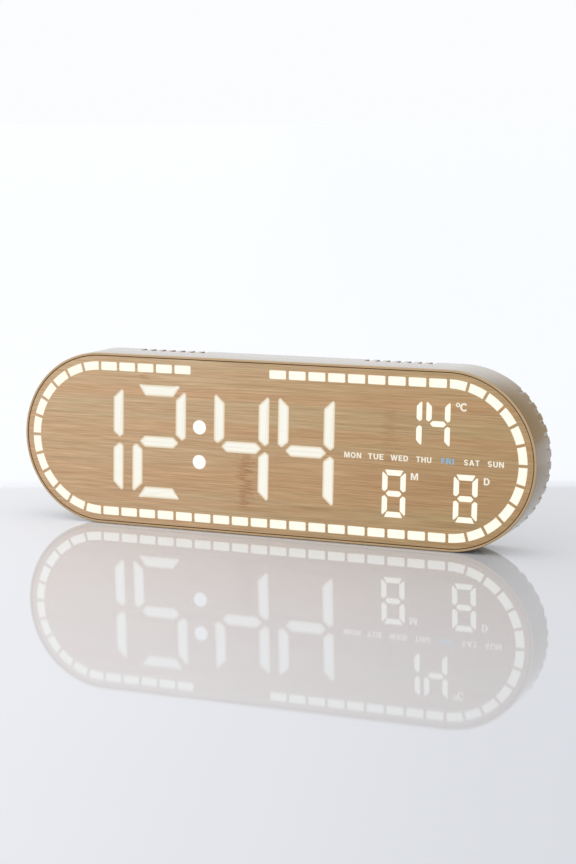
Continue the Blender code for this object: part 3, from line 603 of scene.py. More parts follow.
# ---------------------------------------------------------------- display layout, in pitches
def second_mark(index):
    """Outline of one second mark, counted clockwise from the top middle."""
    half_side = MARKS_PER_STRAIGHT / 2
    inner, outer = MARK_RADIUS - MARK_WIDTH / 2, MARK_RADIUS + MARK_WIDTH / 2
    place = index + 0.5
    if place < half_side or place > MARK_COUNT - half_side:
        x = place if place < half_side else place - MARK_COUNT
        return rounded(rectangle(MARK_LENGTH, MARK_WIDTH, (x, MARK_RADIUS)), MARK_ROUNDING)
    if half_side + MARKS_PER_END < place < MARK_COUNT - half_side - MARKS_PER_END:
        x = MARK_COUNT / 2 - place
        return rounded(rectangle(MARK_LENGTH, MARK_WIDTH, (x, -MARK_RADIUS)), MARK_ROUNDING)
    right = place < MARK_COUNT / 2
    along = place - half_side if right else place - (MARK_COUNT - half_side - MARKS_PER_END)
    angle = (90 if right else -90) - 180 * along / MARKS_PER_END
    centre = (half_side if right else -half_side, 0.0)
    gap = (1 - MARK_LENGTH) / 2
    outline = []
    for radius, order in ((outer, 1), (inner, -1)):
        spread = order * math.degrees(math.pi / MARKS_PER_END / 2 - gap / radius)
        outline += arc(centre, radius, angle - spread, angle + spread, 5)
    return outline


# One segment of each kind, in a cell whose middle is (0, 0); a large digit's and a small one's.
LARGE = {
    "side": (1.17, [(-0.28, 0.40), (-0.28, 2.10), (0.18, 2.52), (0.28, 2.42), (0.28, 0.27), (0.07, 0.12)]),
    "end": [(-1.125, 2.79), (-0.765, 2.24), (0.765, 2.24), (1.125, 2.79)],
    "bar": [(-1.06, 0.0), (-0.775, -0.28), (0.775, -0.28), (1.06, 0.0), (0.775, 0.28), (-0.775, 0.28)],
    "round": 0.07,
}
SMALL = {
    "side": (0.45, [(-0.135, 0.225), (-0.135, 0.80), (0.09, 1.02), (0.135, 0.96), (0.135, 0.16),
                    (0.0, 0.09)]),
    "end": [(-0.46, 1.125), (-0.32, 0.855), (0.32, 0.855), (0.46, 1.125)],
    "bar": [(-0.40, 0.0), (-0.27, -0.135), (0.27, -0.135), (0.40, 0.0), (0.27, 0.135), (-0.27, 0.135)],
    "round": 0.045,
}
SEGMENTS = {"1": "bc", "2": "abged", "4": "fgbc", "8": "abcdefg"}
SLANT = 0.02

# Middles of the digits' cells.
HOURS = ((-9.20, 0), (-5.81, 0))
MINUTES = ((-1.42, 0), (1.93, 0))
TEMPERATURE = ((7.15, 1.70), (8.52, 1.70))
MONTH = ((5.0, -1.70), (6.37, -1.70))
DAY = ((8.5, -1.70), (9.87, -1.70))


def digit(value, kind, cell):
    """Outlines of the lit segments of one digit."""
    axis, side = kind["side"]
    outlines = []
    for segment in SEGMENTS[value]:
        if segment in "bcef":
            across = 1 if segment in "bc" else -1
            up = 1 if segment in "bf" else -1
            points = [(across * (axis + u), up * v) for u, v in side]
        elif segment in "ad":
            up = 1 if segment == "a" else -1
            points = [(u, up * v) for u, v in kind["end"]]
        else:
            points = kind["bar"]
        area = sum(p[0] * q[1] - q[0] * p[1] for p, q in zip(points, points[1:] + points[:1]))
        if area < 0:
            points = points[::-1]
        outlines.append(rounded([(cell[0] + u + SLANT * v, cell[1] + v) for u, v in points], kind["round"]))
    return outlines


def number(text, kind, cells):
    """Outlines of a number's lit segments; its last digit is in the last cell."""
    outlines = []
    for value, cell in zip(text, cells[-len(text):]):
        outlines += digit(value, kind, cell)
    return outlines


def lit(name, outlines, finish, border):
    """Lit segments, from outlines in pitches, each with a border of another colour."""
    shape = bmesh.new()
    for outline in outlines:
        scaled = [(x * PITCH, z * PITCH) for x, z in outline]
        slab(shape, scaled, LIT_FRONT_Y, LIT_BACK_Y, border)
    return piece(name, shape, "root", [finish])


# ---------------------------------------------------------------- finishes
PAINT = case_paint("champagne_paint", (0.285, 0.212, 0.122), 1.0, 0.25, 1.0)
# A lighter copy of the case paint for the front lip: a painted highlight where the front edge catches the
# light.
LIP_HIGHLIGHT_PAINT = case_paint("painted_highlight_lip", (0.58, 0.40, 0.215), 0.3, 0.36, 0.05)
# Dark finish for the lip's inner wall: a painted shade that darkens the gap round the veneer.
LIP_WALL_SHADE = moulded("painted_lip_wall_shade", (0.32, 0.16, 0.065), 0.7, Specular_IOR_Level=0.1)
INSIDE = moulded("unpainted_shell", (0.10, 0.070, 0.045), 0.55)
VENEER = bamboo("bamboo_veneer")
# A dark ring set in the gap behind the veneer's edge: painted shade that hides the pale parts behind it.
DARK_GAP_RING = moulded("painted_gap_shade_ring", (0.13, 0.062, 0.024), 0.7, Specular_IOR_Level=0.1)
LAMINATE = moulded("bamboo_edge", (0.22, 0.105, 0.04), 0.7, Specular_IOR_Level=0.1)
COVER = moulded("cover_plastic", (0.36, 0.295, 0.215), 0.46, 4200, 0.00004, 0.035)
CAP = moulded("cap_plastic", (0.31, 0.250, 0.178), 0.42, 4200, 0.00004, 0.035)
KEYS = moulded("button_plastic", (0.21, 0.165, 0.115), 0.36, 7000, 0.00001, 0.04)
INK = moulded("printed_ink", (0.80, 0.78, 0.72), 0.5, 9000, 0.000002)
SILICONE = moulded("silicone", (0.40, 0.39, 0.36), 0.62, 3000, 0.00001)
BLACK = moulded("black_moulding", (0.018, 0.018, 0.020), 0.42, 6000, 0.00001)
NATURAL = moulded("natural_nylon", (0.70, 0.66, 0.55), 0.45, 5000, 0.00001)
WHITE = moulded("white_moulding", (0.84, 0.84, 0.81), 0.48, 5000, 0.00001, 0.04)
OPAL = moulded("opal_sheet", (0.88, 0.87, 0.83), 0.35, 2500, 0.00001, 0.03, Transmission_Weight=0.35)
EPOXY = moulded("epoxy", (0.03, 0.03, 0.04), 0.2, 800, 0.00002)
ZINC = metal("zinc_plate", (0.62, 0.61, 0.58), 0.30, (900, 900, 900))
NICKEL = metal("nickel_plate", (0.66, 0.66, 0.67), 0.26, (500, 5000, 500))
CAN = metal("drawn_can", (0.76, 0.76, 0.77), 0.25, (3000, 200, 3000))
CELL = metal("cell_steel", (0.70, 0.70, 0.69), 0.24, (300, 300, 6000))
GOLD = metal("gold_contact", (0.83, 0.62, 0.27), 0.22, (3000, 300, 3000))
GREEN_BOARD = circuit("green_circuit", (0.020, 0.115, 0.045), (0.05, 0.22, 0.08))
WHITE_BOARD = circuit("white_circuit", (0.76, 0.77, 0.75), (0.86, 0.86, 0.84))
RIBBON = striped("ribbon_film", (0.72, 0.74, 0.76), (0.62, 0.60, 0.55), 0.001, 0.0006)
LIT_MARK = glowing("lit_mark", (0.97, 0.955, 0.83), (0.88, 0.76, 0.53), 1.0)
LIT_DIGIT = glowing("lit_digit", (0.98, 0.955, 0.855), (0.78, 0.66, 0.47), 0.93)
LIT_SMALL = glowing("lit_small_digit", (0.98, 0.95, 0.82), (0.94, 0.83, 0.61), 1.03)
LIT_DOT = glowing("lit_dot", (0.99, 0.985, 0.95), (0.92, 0.87, 0.76), 0.97)
LIT_LABEL = glowing("lit_label", (0.92, 0.87, 0.73), (0.92, 0.87, 0.73), 0.95)
LIT_BLUE = glowing("lit_weekday", (0.21, 0.47, 0.70), (0.21, 0.47, 0.70), 0.95)


# ---------------------------------------------------------------- case
def groove_tool(centre, turn):
    """A cutter for one vent groove: round at the front end, open at the back, relieved at the floor."""
    half = GROOVE_WIDTH / 2
    levels = ((0.0009, 0.00012), (0.0, 0.00012), (-0.00012, 0.0), (0.0004 - GROOVE_DEPTH, 0.0),
              (0.00012 - GROOVE_DEPTH, -0.00014), (-GROOVE_DEPTH, -0.0004))
    front = BACK_Y - GROOVE_LENGTH + half
    loops = []
    for level, grow in levels:
        width = half + grow
        outline = arc((0.0, front), width, 180, 360, 14) + [(width, BACK_Y + 0.002), (-width, BACK_Y + 0.002)]
        loops.append([(u, y, level) for u, y in outline])
    shape = capped(loops)
    place = Matrix.Translation((centre[0], 0.0, CENTRE_Z + centre[1]))
    shape.transform(place @ Matrix.Rotation(turn, 4, "Y"))
    return tool_object(shape)


def groove_tools():
    """Two groups in the top, two in the underside, and one round each end."""
    tools = []
    for group in (-1, 1):
        for index in range(GROOVES_ON_TOP):
            x = (group * GROOVE_GROUP + (index - GROOVES_ON_TOP // 2) * GROOVE_PITCH) * PITCH
            tools.append(groove_tool((x, CASE_RADIUS), 0.0))
            tools.append(groove_tool((x, -CASE_RADIUS), math.pi))
    for side in (-1, 1):
        for index in range(GROOVES_ON_END):
            angle = math.radians((index - GROOVES_ON_END // 2) * GROOVE_STEP)
            place = (side * (HALF_STRAIGHT + CASE_RADIUS * math.cos(angle)), CASE_RADIUS * math.sin(angle))
            tools.append(groove_tool(place, side * (math.pi / 2 - angle)))
    return tools


def foot_pocket(x, y):
    """A cutter for the round pocket that a foot sits in."""
    shape = bmesh.new()
    bmesh.ops.create_cone(shape, cap_ends=True, segments=40, radius1=FOOT_POCKET, radius2=FOOT_POCKET,
                          depth=0.0025)
    shape.transform(Matrix.Translation((x, y, CENTRE_Z - CASE_RADIUS + FOOT_POCKET_DEPTH - 0.00125)))
    return tool_object(shape)


def make_case():
    """The shell, swept round the outline; each stretch of its profile has a finish of its own."""
    lip, front, rear, rim = 0.00012, 0.00050, 0.00070, 0.00020
    painted, edge, bare, dark = range(4)
    profile, indices = [], []

    def add(points, index):
        for point in points:
            profile.append(point)
            indices.append(index)

    front_edge = arc((CASE_RADIUS - front, FRONT_Y + front), front, 270, 360, 7)
    # The lip and the first steps of the front edge take the lighter paint, a painted highlight.
    add(arc((LIP_RADIUS + lip, FRONT_Y + lip), lip, 180, 270, 3), edge)
    add(front_edge[:5], edge)
    add(front_edge[5:], painted)
    add([(CASE_RADIUS, BACK_Y - GROOVE_LENGTH - 0.0005), (CASE_RADIUS, BACK_Y - 0.004)], painted)
    add(arc((CASE_RADIUS - rear, BACK_Y - rear), rear, 0, 90, 7), painted)
    add(arc((REBATE_RADIUS + rim, BACK_Y - rim), rim, 90, 180, 3), painted)
    add([(REBATE_RADIUS, COVER_SEAT_Y), (REAR_BORE_RADIUS, COVER_SEAT_Y), (REAR_BORE_RADIUS, LEDGE_Y)], bare)
    # The closing stretch, the lip's inner wall, takes the dark finish: painted shade in the gap.
    add([(LIP_RADIUS, LEDGE_Y)], dark)
    case = piece("case_body", swept(profile, indices), "root",
                 [PAINT, LIP_HIGHLIGHT_PAINT, INSIDE, LIP_WALL_SHADE], 28)
    pockets = [foot_pocket(x, y) for x in (-FOOT_X, FOOT_X) for y in (-FOOT_Y, FOOT_Y)]
    boolean(case, groove_tools() + pockets)
    shade(case.data, 28)
    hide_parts("case_shell")


def screw_places(group, count):
    boxes = [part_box(f"{group}_{n}") for n in range(1, count + 1)]
    return [(low + high) / 2 for low, high in boxes]


COVER_SCREWS = screw_places("cover_screw", 8)
DISPLAY_SCREWS = screw_places("display_screw", 6)
BOSS_RADIUS = 0.0032
BOSS_HOLE = 0.0012
TAB_WIDTH = 0.009
TAB_INNER = 0.032
TAB_HOLE = 0.0014


def make_bosses():
    """The bosses that the cover's screws go into, standing out from the case's bore."""
    top = COVER_SEAT_Y - 0.0001
    chamfer = BOSS_RADIUS - 0.0002
    profile = [(0.0, 0.0015), (BOSS_HOLE, 0.0015), (BOSS_HOLE + 0.0002, top), (chamfer, top),
               (BOSS_RADIUS, top - 0.0002), (BOSS_RADIUS, 0.0002), (chamfer, 0.0), (0.0, 0.0)]
    shape = bmesh.new()
    for place in COVER_SCREWS:
        absorb(shape, turned(profile, (place.x, place.z), 32))
    piece("case_bosses", shape, "root", [INSIDE])


def make_tabs():
    """The tabs inside the case that the display stack is screwed to."""
    reach = REAR_BORE_RADIUS + 0.0008 - TAB_INNER
    shape = bmesh.new()
    for place in DISPLAY_SCREWS:
        up = math.copysign(1.0, place.z - CENTRE_Z)
        middle_z = up * (TAB_INNER + reach / 2)
        outline = rounded(rectangle(TAB_WIDTH, reach, (place.x, middle_z)), 0.002)
        hole = circle(TAB_HOLE, 20, (place.x, place.z - CENTRE_Z))
        absorb(shape, plate([outline, hole], LEDGE_Y + 0.0001, LEDGE_Y + 0.0019, 0.0002))
    piece("display_tabs", shape, "root", [INSIDE])


def make_feet():
    edge = 0.0003
    for n in range(1, 5):
        low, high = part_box(f"foot_{n}")
        centre = (low + high) / 2
        radius, height = (high.x - low.x) / 2, high.z - low.z
        profile = [(0.0, 0.0), (radius - 0.0014, 0.0), (radius - 0.0010, 0.00003)]
        profile += arc((radius - edge, edge), edge, -60, 0, 2)
        profile += [(radius, height - 0.0002), (radius - 0.0002, height), (0.0, height)]
        shape = turned(profile, (0.0, 0.0), 40)
        place = Matrix.Translation((centre.x, centre.y, low.z))
        shape.transform(place @ Matrix.Rotation(math.pi / 2, 4, "X"))
        foot = piece(f"silicone_foot_{n}", shape, "root", [SILICONE])
        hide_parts(f"foot_{n}")


# ---------------------------------------------------------------- front
DIGIT_BORDER = 0.0016
SMALL_BORDER = 0.0003
TODAY = "FRI"


def make_front():
    shape = plate([stadium(HALF_STRAIGHT, PANEL_RADIUS)], PANEL_Y, PANEL_BACK_Y, 0.00014)
    for face in shape.faces:
        face.material_index = 0 if face.calc_center_median().y < PANEL_Y + 0.00002 else 1
    panel = piece("veneer_panel", shape, "root", [VENEER, LAMINATE], 30)
    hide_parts("bamboo_panel")
    # A dark ring in the gap between the veneer and the lip, there as painted shade.
    shade_ring = plate([stadium(HALF_STRAIGHT, LIP_RADIUS - inset) for inset in (0.00002, 0.00038)],
                   PANEL_Y + 0.0005, PANEL_Y + 0.0011)
    piece("veneer_gap_shade", shade_ring, "root", [DARK_GAP_RING])


def make_display():
    """The time is 12:44, four seconds before the minute is full; 14 degrees; the 8th of August."""
    lit("lit_seconds", [second_mark(n) for n in range(LIT_MARKS)], LIT_MARK, 0.00035)
    lit("lit_hours", number("12", LARGE, HOURS), LIT_DIGIT, DIGIT_BORDER)
    lit("lit_minutes", number("44", LARGE, MINUTES), LIT_DIGIT, DIGIT_BORDER)
    lit("lit_colon", [circle(0.35, 48, (-3.62, 0.85)), circle(0.35, 48, (-3.65, -0.85))], LIT_DOT,
        SMALL_BORDER)
    for name, text, cells in (("temperature", "14", TEMPERATURE), ("month", "8", MONTH), ("day", "8", DAY)):
        lit("lit_" + name, number(text, SMALL, cells), LIT_SMALL, SMALL_BORDER)
    days = (("MON", 4.32, 0.85), ("TUE", 5.47, 0.77), ("WED", 6.64, 0.87), ("THU", 7.84, 0.74),
            ("FRI", 9.00, 0.61), ("SAT", 10.16, 0.74), ("SUN", 11.31, 0.77))
    for name, now, finish in (("lit_weekdays", False, LIT_LABEL), ("lit_weekday_now", True, LIT_BLUE)):
        words = [(word, x, 0.0, width) for word, x, width in days if (word == TODAY) == now]
        lit_signs(name, lettering(words, 0.27), finish)
    signs = lettering([("M", 7.39, -0.825, 0.36), ("D", 10.89, -0.825, 0.28)], 0.33)
    lit_signs("lit_date_signs", signs, LIT_LABEL)
    ring = (9.475 * PITCH, 2.64 * PITCH)
    celsius = lettering([("C", 9.75, 2.545, 0.35)], 0.39)
    degree = [circle(radius * PITCH, 24, ring) for radius in (0.105, 0.052)]
    lit_signs("lit_degree_sign", celsius + degree, LIT_LABEL)


# ---------------------------------------------------------------- rear cover
CAP_CENTRE = (-0.052, -0.006)
SOCKET = (0.052, -0.014)
BUZZER = (0.004, -0.010)
BUTTON_PLACES = [((n - 2) * 0.018, 0.020) for n in range(5)]
FLOOR_Y = BACK_Y - 0.0012  # the floor of the button recess and the screw pockets
COVER_FACE_Y = BACK_Y - 0.00006
KEYHOLE_PLACE = (0.100, 0.020)
KEYHOLE_HEAD = 0.0046
KEYHOLE_SLOT = 0.0022
KEYHOLE_REACH = 0.010
BUTTON_HOLE = 0.0049
SCREW_HOLE = 0.0015
HEAD_POCKET = 0.0029
POST_X = 0.075
POST_Z = 0.022


def keyhole(side, grow=0.0):
    x, z = side * KEYHOLE_PLACE[0], KEYHOLE_PLACE[1]
    radius, slot = KEYHOLE_HEAD + grow, KEYHOLE_SLOT + grow
    half = math.degrees(math.asin(slot / radius))
    return (arc((x, z), radius, 90 + half, 450 - half, 28)
            + arc((x, z + KEYHOLE_REACH - KEYHOLE_SLOT), slot, 0, 180, 12))


def cap_opening(grow=0.0):
    """Round, with two notches that let the cap's tabs in."""
    points = []
    notch = math.radians(15)
    for step in range(144):
        angle = 2 * math.pi * step / 144
        turned_by = (angle - math.radians(40) + math.pi / 2) % math.pi - math.pi / 2
        radius = (0.0148 if abs(turned_by) < notch else 0.0128) + grow
        points.append((CAP_CENTRE[0] + radius * math.cos(angle), CAP_CENTRE[1] + radius * math.sin(angle)))
    return points


def through_holes(grow=0.0):
    sound = arc(BUZZER, 0.0032, 0, 300, 5) + [BUZZER]
    return ([keyhole(side, grow) for side in (-1, 1)] + [cap_opening(grow)]
            + [stadium(0.0027, 0.0038 + grow, 16, SOCKET)] + [circle(0.0009 + grow, 20, p) for p in sound])


def make_cover():
    """Two layers: the upper one is opened further, for the button recess and the screw heads."""
    screws = [(p.x, p.z - CENTRE_Z) for p in COVER_SCREWS]
    lower = plate([stadium(HALF_STRAIGHT, COVER_RADIUS - 0.00005)] + through_holes(0.00005)
                  + [circle(BUTTON_HOLE, 40, p) for p in BUTTON_PLACES]
                  + [circle(SCREW_HOLE, 20, p) for p in screws],
                  COVER_INNER_Y, FLOOR_Y, 0.00015)
    cover = piece("back_cover", lower, "root", [COVER], 13)
    upper = plate([stadium(HALF_STRAIGHT, COVER_RADIUS)] + through_holes()
                  + [stadium(0.045, 0.0075, 24, (0.0, 0.020))]
                  + [circle(HEAD_POCKET, 32, p) for p in screws], FLOOR_Y - 0.0003, COVER_FACE_Y, 0.0002)
    root = COVER_INNER_Y + 0.0002
    post = [(0.0, root), (0.0030, root), (0.0030, 0.0046), (0.0028, 0.0043), (0.0013, 0.0043),
            (0.0012, 0.0100), (0.0, 0.0100)]
    posts = [tool_object(turned(post, (x, CENTRE_Z + z), 32)) for x in (-POST_X, POST_X)
             for z in (-POST_Z, POST_Z)]
    boolean(cover, [tool_object(upper)] + posts, "UNION")
    shade(cover.data, 13)
    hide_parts("rear_cover")


def make_screws():
    """Pan heads with a cross recess and a rolled thread, one mesh for each length."""
    meshes = {}
    groups = [("cover_screw", 8, 1), ("display_screw", 6, 1), ("board_screw", 4, -1)]
    for group, count, back in groups:
        for n in range(1, count + 1):
            low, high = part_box(f"{group}_{n}")
            if group not in meshes:
                meshes[group] = screw_mesh(group, high.y - low.y)
            screw = bpy.data.objects.new(f"{group}_{n}_pan_head", meshes[group])
            scene.collection.objects.link(screw)
            screw.location = ((low.x + high.x) / 2, high.y if back > 0 else low.y, (low.z + high.z) / 2)
            screw.rotation_euler = (0.0, 0.3 * n, 0.0 if back > 0 else math.pi)
            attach(screw, "root")
            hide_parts(f"{group}_{n}")


def screw_mesh(name, length):
    """Head at y = 0, pointing to +Y; the tip lies at -length."""
    head, radius, core = 0.0012, 0.0025, 0.00085
    profile = [(0.0, 0.0), (0.0011, -0.00003), (0.0018, -0.00016), (0.0022, -0.00038), (0.00245, -0.0007),
               (radius, -0.00095), (0.00245, -head + 0.00005), (0.0024, -head), (core, -head)]
    y = -head - 0.0004
    while y > -length + 0.0012:
        profile += [(core, y), (0.0011, y - 0.00015), (core, y - 0.0003)]
        y -= 0.00055
    profile += [(core, -length + 0.0007), (0.0002, -length), (0.0, -length)]
    screw = piece(name + "_mesh", turned(profile, (0.0, 0.0), 36), None, [ZINC], 35)
    tools = []
    levels = ((0.0003, 0.0013, 0.00034), (-0.0009, 0.0005, 0.00018))  # depth, half length, half width
    for turn in (0.0, math.pi / 2):
        wing = capped([[(u, y, v) for u, v in rectangle(2 * a, 2 * b)] for y, a, b in levels])
        wing.transform(Matrix.Rotation(turn, 4, "Y"))
        tools.append(tool_object(wing))
    for tool in tools:
        boolean(screw, [tool])
    mesh = screw.data
    shade(mesh, 35)
    bpy.data.objects.remove(screw, do_unlink=True)
    return mesh


def icon(name):
    """Outlines of a button's sign, in metres from the button's middle."""
    if name == "minus":
        return [rounded(rectangle(0.0042, 0.0008), 0.0003)]
    if name == "plus":
        far, near = 0.0021, 0.0004
        return [[(near, near), (near, far), (-near, far), (-near, near), (-far, near), (-far, -near),
                 (-near, -near), (-near, -far), (near, -far), (near, -near), (far, -near), (far, near)]]
    if name == "light":
        near, far, half = 0.0016, 0.0024, 0.00022
        rays = [[(r * math.cos(a) + s * math.sin(a), r * math.sin(a) - s * math.cos(a))
                 for r, s in ((near, half), (far, half), (far, -half), (near, -half))]
                for a in (n * math.pi / 4 for n in range(8))]
        return [circle(0.0011, 28)] + rays
    if name == "set":
        teeth = []
        for n in range(8):
            for offset, radius in ((-14, 0.0016), (-9, 0.0021), (9, 0.0021), (14, 0.0016)):
                a = math.radians(45 * n + offset)
                teeth.append((radius * math.cos(a), radius * math.sin(a)))
        return [teeth, circle(0.0008, 24)]
    bell = arc((0.0, 0.0002), 0.0013, 0, 180, 14)
    bell += [(-0.0014, -0.0008), (-0.0019, -0.0013), (0.0019, -0.0013), (0.0014, -0.0008)]
    return [bell, arc((0.0, -0.0016), 0.0005, 180, 360, 10)]


def make_buttons():
    """Dished keys, each with a flange behind the cover and a stem to its plunger."""
    radius, flange, stem = 0.0046, 0.0056, 0.0017
    for label, (x, z) in zip(BUTTONS, BUTTON_PLACES):
        low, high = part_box("button_" + label)
        face = high.y
        dish = [(0.0, face - 0.00022), (0.0012, face - 0.00020), (0.0024, face - 0.00012),
                (0.0034, face - 0.00003)]
        shoulder = [(radius, 0.01135), (flange - 0.0001, 0.01130), (flange, 0.0112), (flange, 0.0104),
                    (flange - 0.0001, 0.0103)]
        shank = [(stem + 0.0001, 0.0103), (stem, low.y + 0.0001), (stem - 0.0001, low.y), (0.0, low.y)]
        profile = dish + arc((radius - 0.0005, face - 0.0005), 0.0005, 90, 0, 5) + shoulder + shank
        key = piece(f"key_{label}", turned(profile, (x, CENTRE_Z + z), 64), "button_" + label,
                    [KEYS], 32)
        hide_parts("button_" + label)
        outlines = [[(x - u, z + v) for u, v in outline] for outline in icon(label)]
        sign = plate(outlines, face - 0.00030, face - 0.00008)
        piece(f"key_{label}_sign", sign, "button_" + label, [INK], 30)


def make_cap():
    """A turning cap with a coin slot, a ring groove and two tabs that hold it behind the cover."""
    low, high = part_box("battery_cap")
    face, radius, groove = high.y, 0.0125, 0.00025
    profile = [(0.0, face), (radius - 0.0022, face), (radius - 0.0020, face - groove),
               (radius - 0.0016, face - groove), (radius - 0.0014, face)]
    profile += arc((radius - 0.0006, face - 0.0006), 0.0006, 90, 0, 5)
    profile += [(radius, low.y + 0.0002), (radius - 0.0002, low.y), (0.0, low.y)]
    centre = (CAP_CENTRE[0], CENTRE_Z + CAP_CENTRE[1])
    cap = piece("coin_slot_cap", turned(profile, centre, 96), "battery_cap", [CAP], 32)
    tabs = []
    for start in (0.0, 180.0):
        sector = (arc(CAP_CENTRE, 0.0145, start - 12, start + 12, 8)
                  + arc(CAP_CENTRE, 0.0100, start + 12, start - 12, 8))
        tabs.append(tool_object(plate([sector], low.y + 0.0001, 0.0113)))
    boolean(cap, tabs, "UNION")
    slot = plate([stadium(0.0064, 0.0011, 14)], face - 0.0010, face + 0.001)
    turn = Matrix.Rotation(math.radians(-25), 4, "Y")
    slot.transform(Matrix.Translation((centre[0], 0.0, centre[1])) @ turn
                   @ Matrix.Translation((0.0, 0.0, -CENTRE_Z)))
    boolean(cap, [tool_object(slot)])
    shade(cap.data, 32)
    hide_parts("battery_cap")


def make_marks():
    """Raised signs on the cover beside the cap: an arrow's arc from a closed to an open ring."""
    cx, cz = CAP_CENTRE
    shaft = arc(CAP_CENTRE, 0.0178, 100, 130, 16) + arc(CAP_CENTRE, 0.0173, 130, 100, 16)
    tip = math.radians(96)
    head = [(cx + r * math.cos(t), cz + r * math.sin(t)) for r, t in
            ((0.01755, tip - 0.02), (0.0186, tip + 0.07), (0.0165, tip + 0.07))]
    opened, closed = arc(CAP_CENTRE, 0.0176, 90, 136, 1)
    shape = bmesh.new()
    for outlines in ([shaft], [head], [circle(0.0009, 24, opened), circle(0.0006, 24, opened)],
                     [circle(0.0009, 24, closed)]):
        absorb(shape, plate(outlines, BACK_Y - 0.0002, BACK_Y - 0.00001))
    piece("cap_signs", shape, "root", [INK], 30)


def make_socket():
    """A flat rounded steel tube with a contact tongue, closed at its inner end."""
    low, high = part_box("power_socket")
    half, radius, wall = 0.0028, 0.0017, 0.0003
    tube = plate([stadium(half, radius, 16, SOCKET), stadium(half, radius - wall, 16, SOCKET)],
                 low.y, high.y, 0.0001)
    shell = piece("socket_shell", tube, "root", [NICKEL], 32)
    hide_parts("power_socket")
    base = plate([stadium(half, radius - wall - 0.00002, 16, SOCKET)], low.y + 0.0001, low.y + 0.0015)
    piece("socket_base", base, "root", [BLACK])
    outline = rounded(rectangle(0.0064, 0.0007, SOCKET), 0.0002)
    tongue = plate([outline], low.y + 0.0010, high.y - 0.0006, 0.0001)
    piece("socket_tongue", tongue, "root", [BLACK])
    pads = bmesh.new()
    for n in range(12):
        x = SOCKET[0] + (n - 5.5) * 0.0005
        for side in (-1, 1):
            outline = rectangle(0.00028, 0.00004, (x, SOCKET[1] + side * 0.00036))
            slab(pads, outline, low.y + 0.0020, high.y - 0.0012)
    piece("socket_contacts", pads, "root", [GOLD])


# ---------------------------------------------------------------- inside
def middle(outline):
    return tuple(sum(values) / len(outline) for values in zip(*outline))


def make_lights():
    """White light packages on the display board, one behind every well."""
    outlines = [second_mark(n) for n in range(MARK_COUNT)]
    for cell in HOURS + MINUTES:
        outlines += digit("8", LARGE, cell)
    for cell in TEMPERATURE + MONTH + DAY:
        outlines += digit("8", SMALL, cell)
    spots = [middle(outline) for outline in outlines]
    spots += [(4.32 + 1.165 * n, 0.0) for n in range(7)] + [(-3.63, 0.85), (-3.63, -0.85)]
    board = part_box("display_board")[0].y
    shape = bmesh.new()
    for x, z in spots:
        package = rounded(rectangle(0.0028, 0.0018, (x * PITCH, z * PITCH)), 0.0002, 2)
        slab(shape, package, board - 0.0008, board - 0.00001, 0.0003)
    piece("light_packages", shape, "root", [WHITE])


# Rows of chips: x of the first, z, how many.
CHIP_ROWS = ((-0.066, 0.022, 6), (0.046, 0.020, 7), (-0.026, 0.004, 5), (0.034, -0.022, 6))
CHIP_PITCH = 0.0034
CHIP_SIZE = 0.0012
CHIP_END = 0.0004


def make_small_parts():
    """Rows of chip resistors and capacitors on the control board, seen with the cover off."""
    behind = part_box("control_board")[1].y
    low, high = behind + 0.00001, behind + 0.0006
    bodies, ends = bmesh.new(), bmesh.new()
    for first, z, count in CHIP_ROWS:
        for n in range(count):
            x = first + CHIP_PITCH * n
            slab(bodies, rounded(rectangle(CHIP_SIZE, CHIP_SIZE, (x, z)), 0.0001, 1), low, high)
            for side in (-1, 1):
                outer = x + side * (CHIP_SIZE + CHIP_END) / 2
                slab(ends, rectangle(CHIP_END, CHIP_SIZE, (outer, z)), low, high)
    piece("chip_bodies", bodies, "root", [BLACK])
    piece("chip_ends", ends, "root", [CAN])


def carry_over():
    """Finishes of the CAD nodes that stay as they are."""
    finishes = {"diffuser_sheet": OPAL, "light_mask": WHITE, "display_board": WHITE_BOARD,
                "control_board": GREEN_BOARD, "board_connector": NATURAL, "display_connector": NATURAL,
                "cell_holder": BLACK, "capacitor": CAN, "clock_crystal": CAN, "coin_cell": CELL,
                "temperature_sensor": EPOXY, "ribbon_cable": RIBBON, "microcontroller": BLACK,
                "led_driver_1": BLACK, "led_driver_2": BLACK, "buzzer": BLACK}
    for label in BUTTONS:
        finishes["plunger_" + label] = NATURAL
        finishes["switch_" + label] = BLACK
    for name, finish in finishes.items():
        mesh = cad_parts[name].data
        mesh.materials.clear()
        mesh.materials.append(finish)


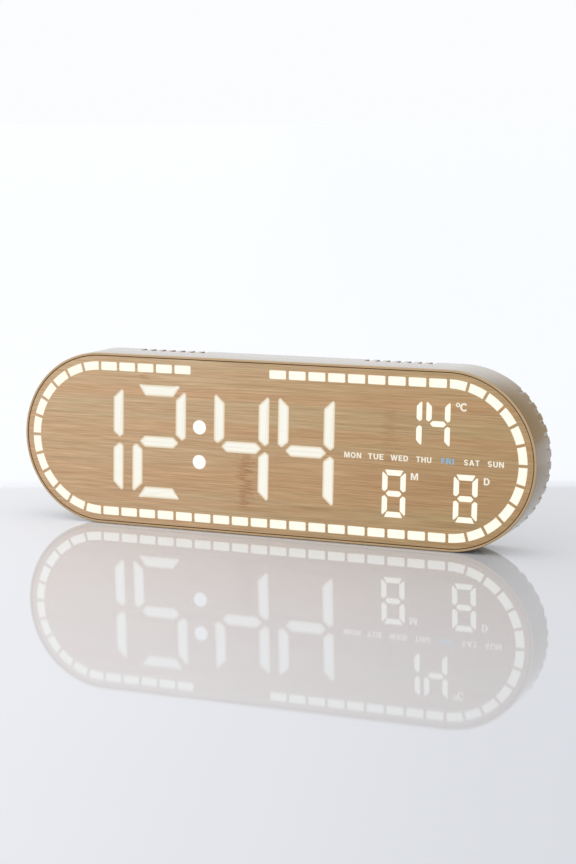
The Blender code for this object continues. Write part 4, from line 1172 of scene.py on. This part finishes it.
# ---------------------------------------------------------------- setting
def make_surround():
    """Soft light from all round, dimmer and warmer low down in one direction behind the clock."""
    world = bpy.data.worlds.new("studio")
    scene.world = world
    world.use_nodes = True
    made = Nodes(world.node_tree)
    direction = made.node("TexCoord").outputs["Generated"]
    toward = made.node("SeparateXYZ", {0: direction}).outputs
    bearing = made.calc("ARCTAN2", toward[0], toward[1])
    sector = made.calc("MULTIPLY", made.remap(bearing, math.radians(-10), math.radians(15)),
                       made.remap(bearing, math.radians(95), math.radians(60)))
    dim = made.calc("MULTIPLY", sector, made.remap(toward[2], 0.80, 0.45))
    light = made.mix(dim, (0.97, 0.98, 1.0), (0.56, 0.46, 0.33))
    made.put(world.node_tree.nodes["Background"].inputs[0], light)


def make_setting():
    shape = bmesh.new()
    bmesh.ops.create_grid(shape, x_segments=1, y_segments=1, size=40.0)
    floor = piece("floor", shape, None, [floor_finish("glossy_table")])

    lamp = bpy.data.lights.new("left_front", "AREA")
    lamp.shape = "RECTANGLE"
    lamp.size, lamp.size_y = 1.2, 1.2
    lamp.energy = 4.0
    lamp.color = (1.0, 0.98, 0.95)
    made = bpy.data.objects.new("left_front", lamp)
    scene.collection.objects.link(made)
    made.location = (-1.30, -1.40, 1.05)
    aim = Vector((0.0, 0.0, 0.05)) - made.location
    made.rotation_euler = aim.to_track_quat("-Z", "Y").to_euler()


def make_camera():
    lens = bpy.data.cameras.new("camera")
    lens.sensor_width = 36.0
    lens.lens = LENS
    lens.clip_start = 0.01
    camera = bpy.data.objects.new("camera", lens)
    scene.collection.objects.link(camera)
    x, y, z = (PITCH * value for value in CAMERA_PLACE)
    camera.location = (x, PANEL_Y + y, CENTRE_Z + z)
    camera.rotation_euler = (math.pi / 2 - VIEW_ELEVATION, VIEW_ROLL, VIEW_AZIMUTH)
    scene.camera = camera


make_camera()
make_surround()
make_setting()
make_case()
make_bosses()
make_tabs()
make_feet()
make_front()
make_display()
make_cover()
make_screws()
make_buttons()
make_cap()
make_marks()
make_socket()
make_lights()
make_small_parts()
carry_over()
scene.view_settings.view_transform = "Standard"
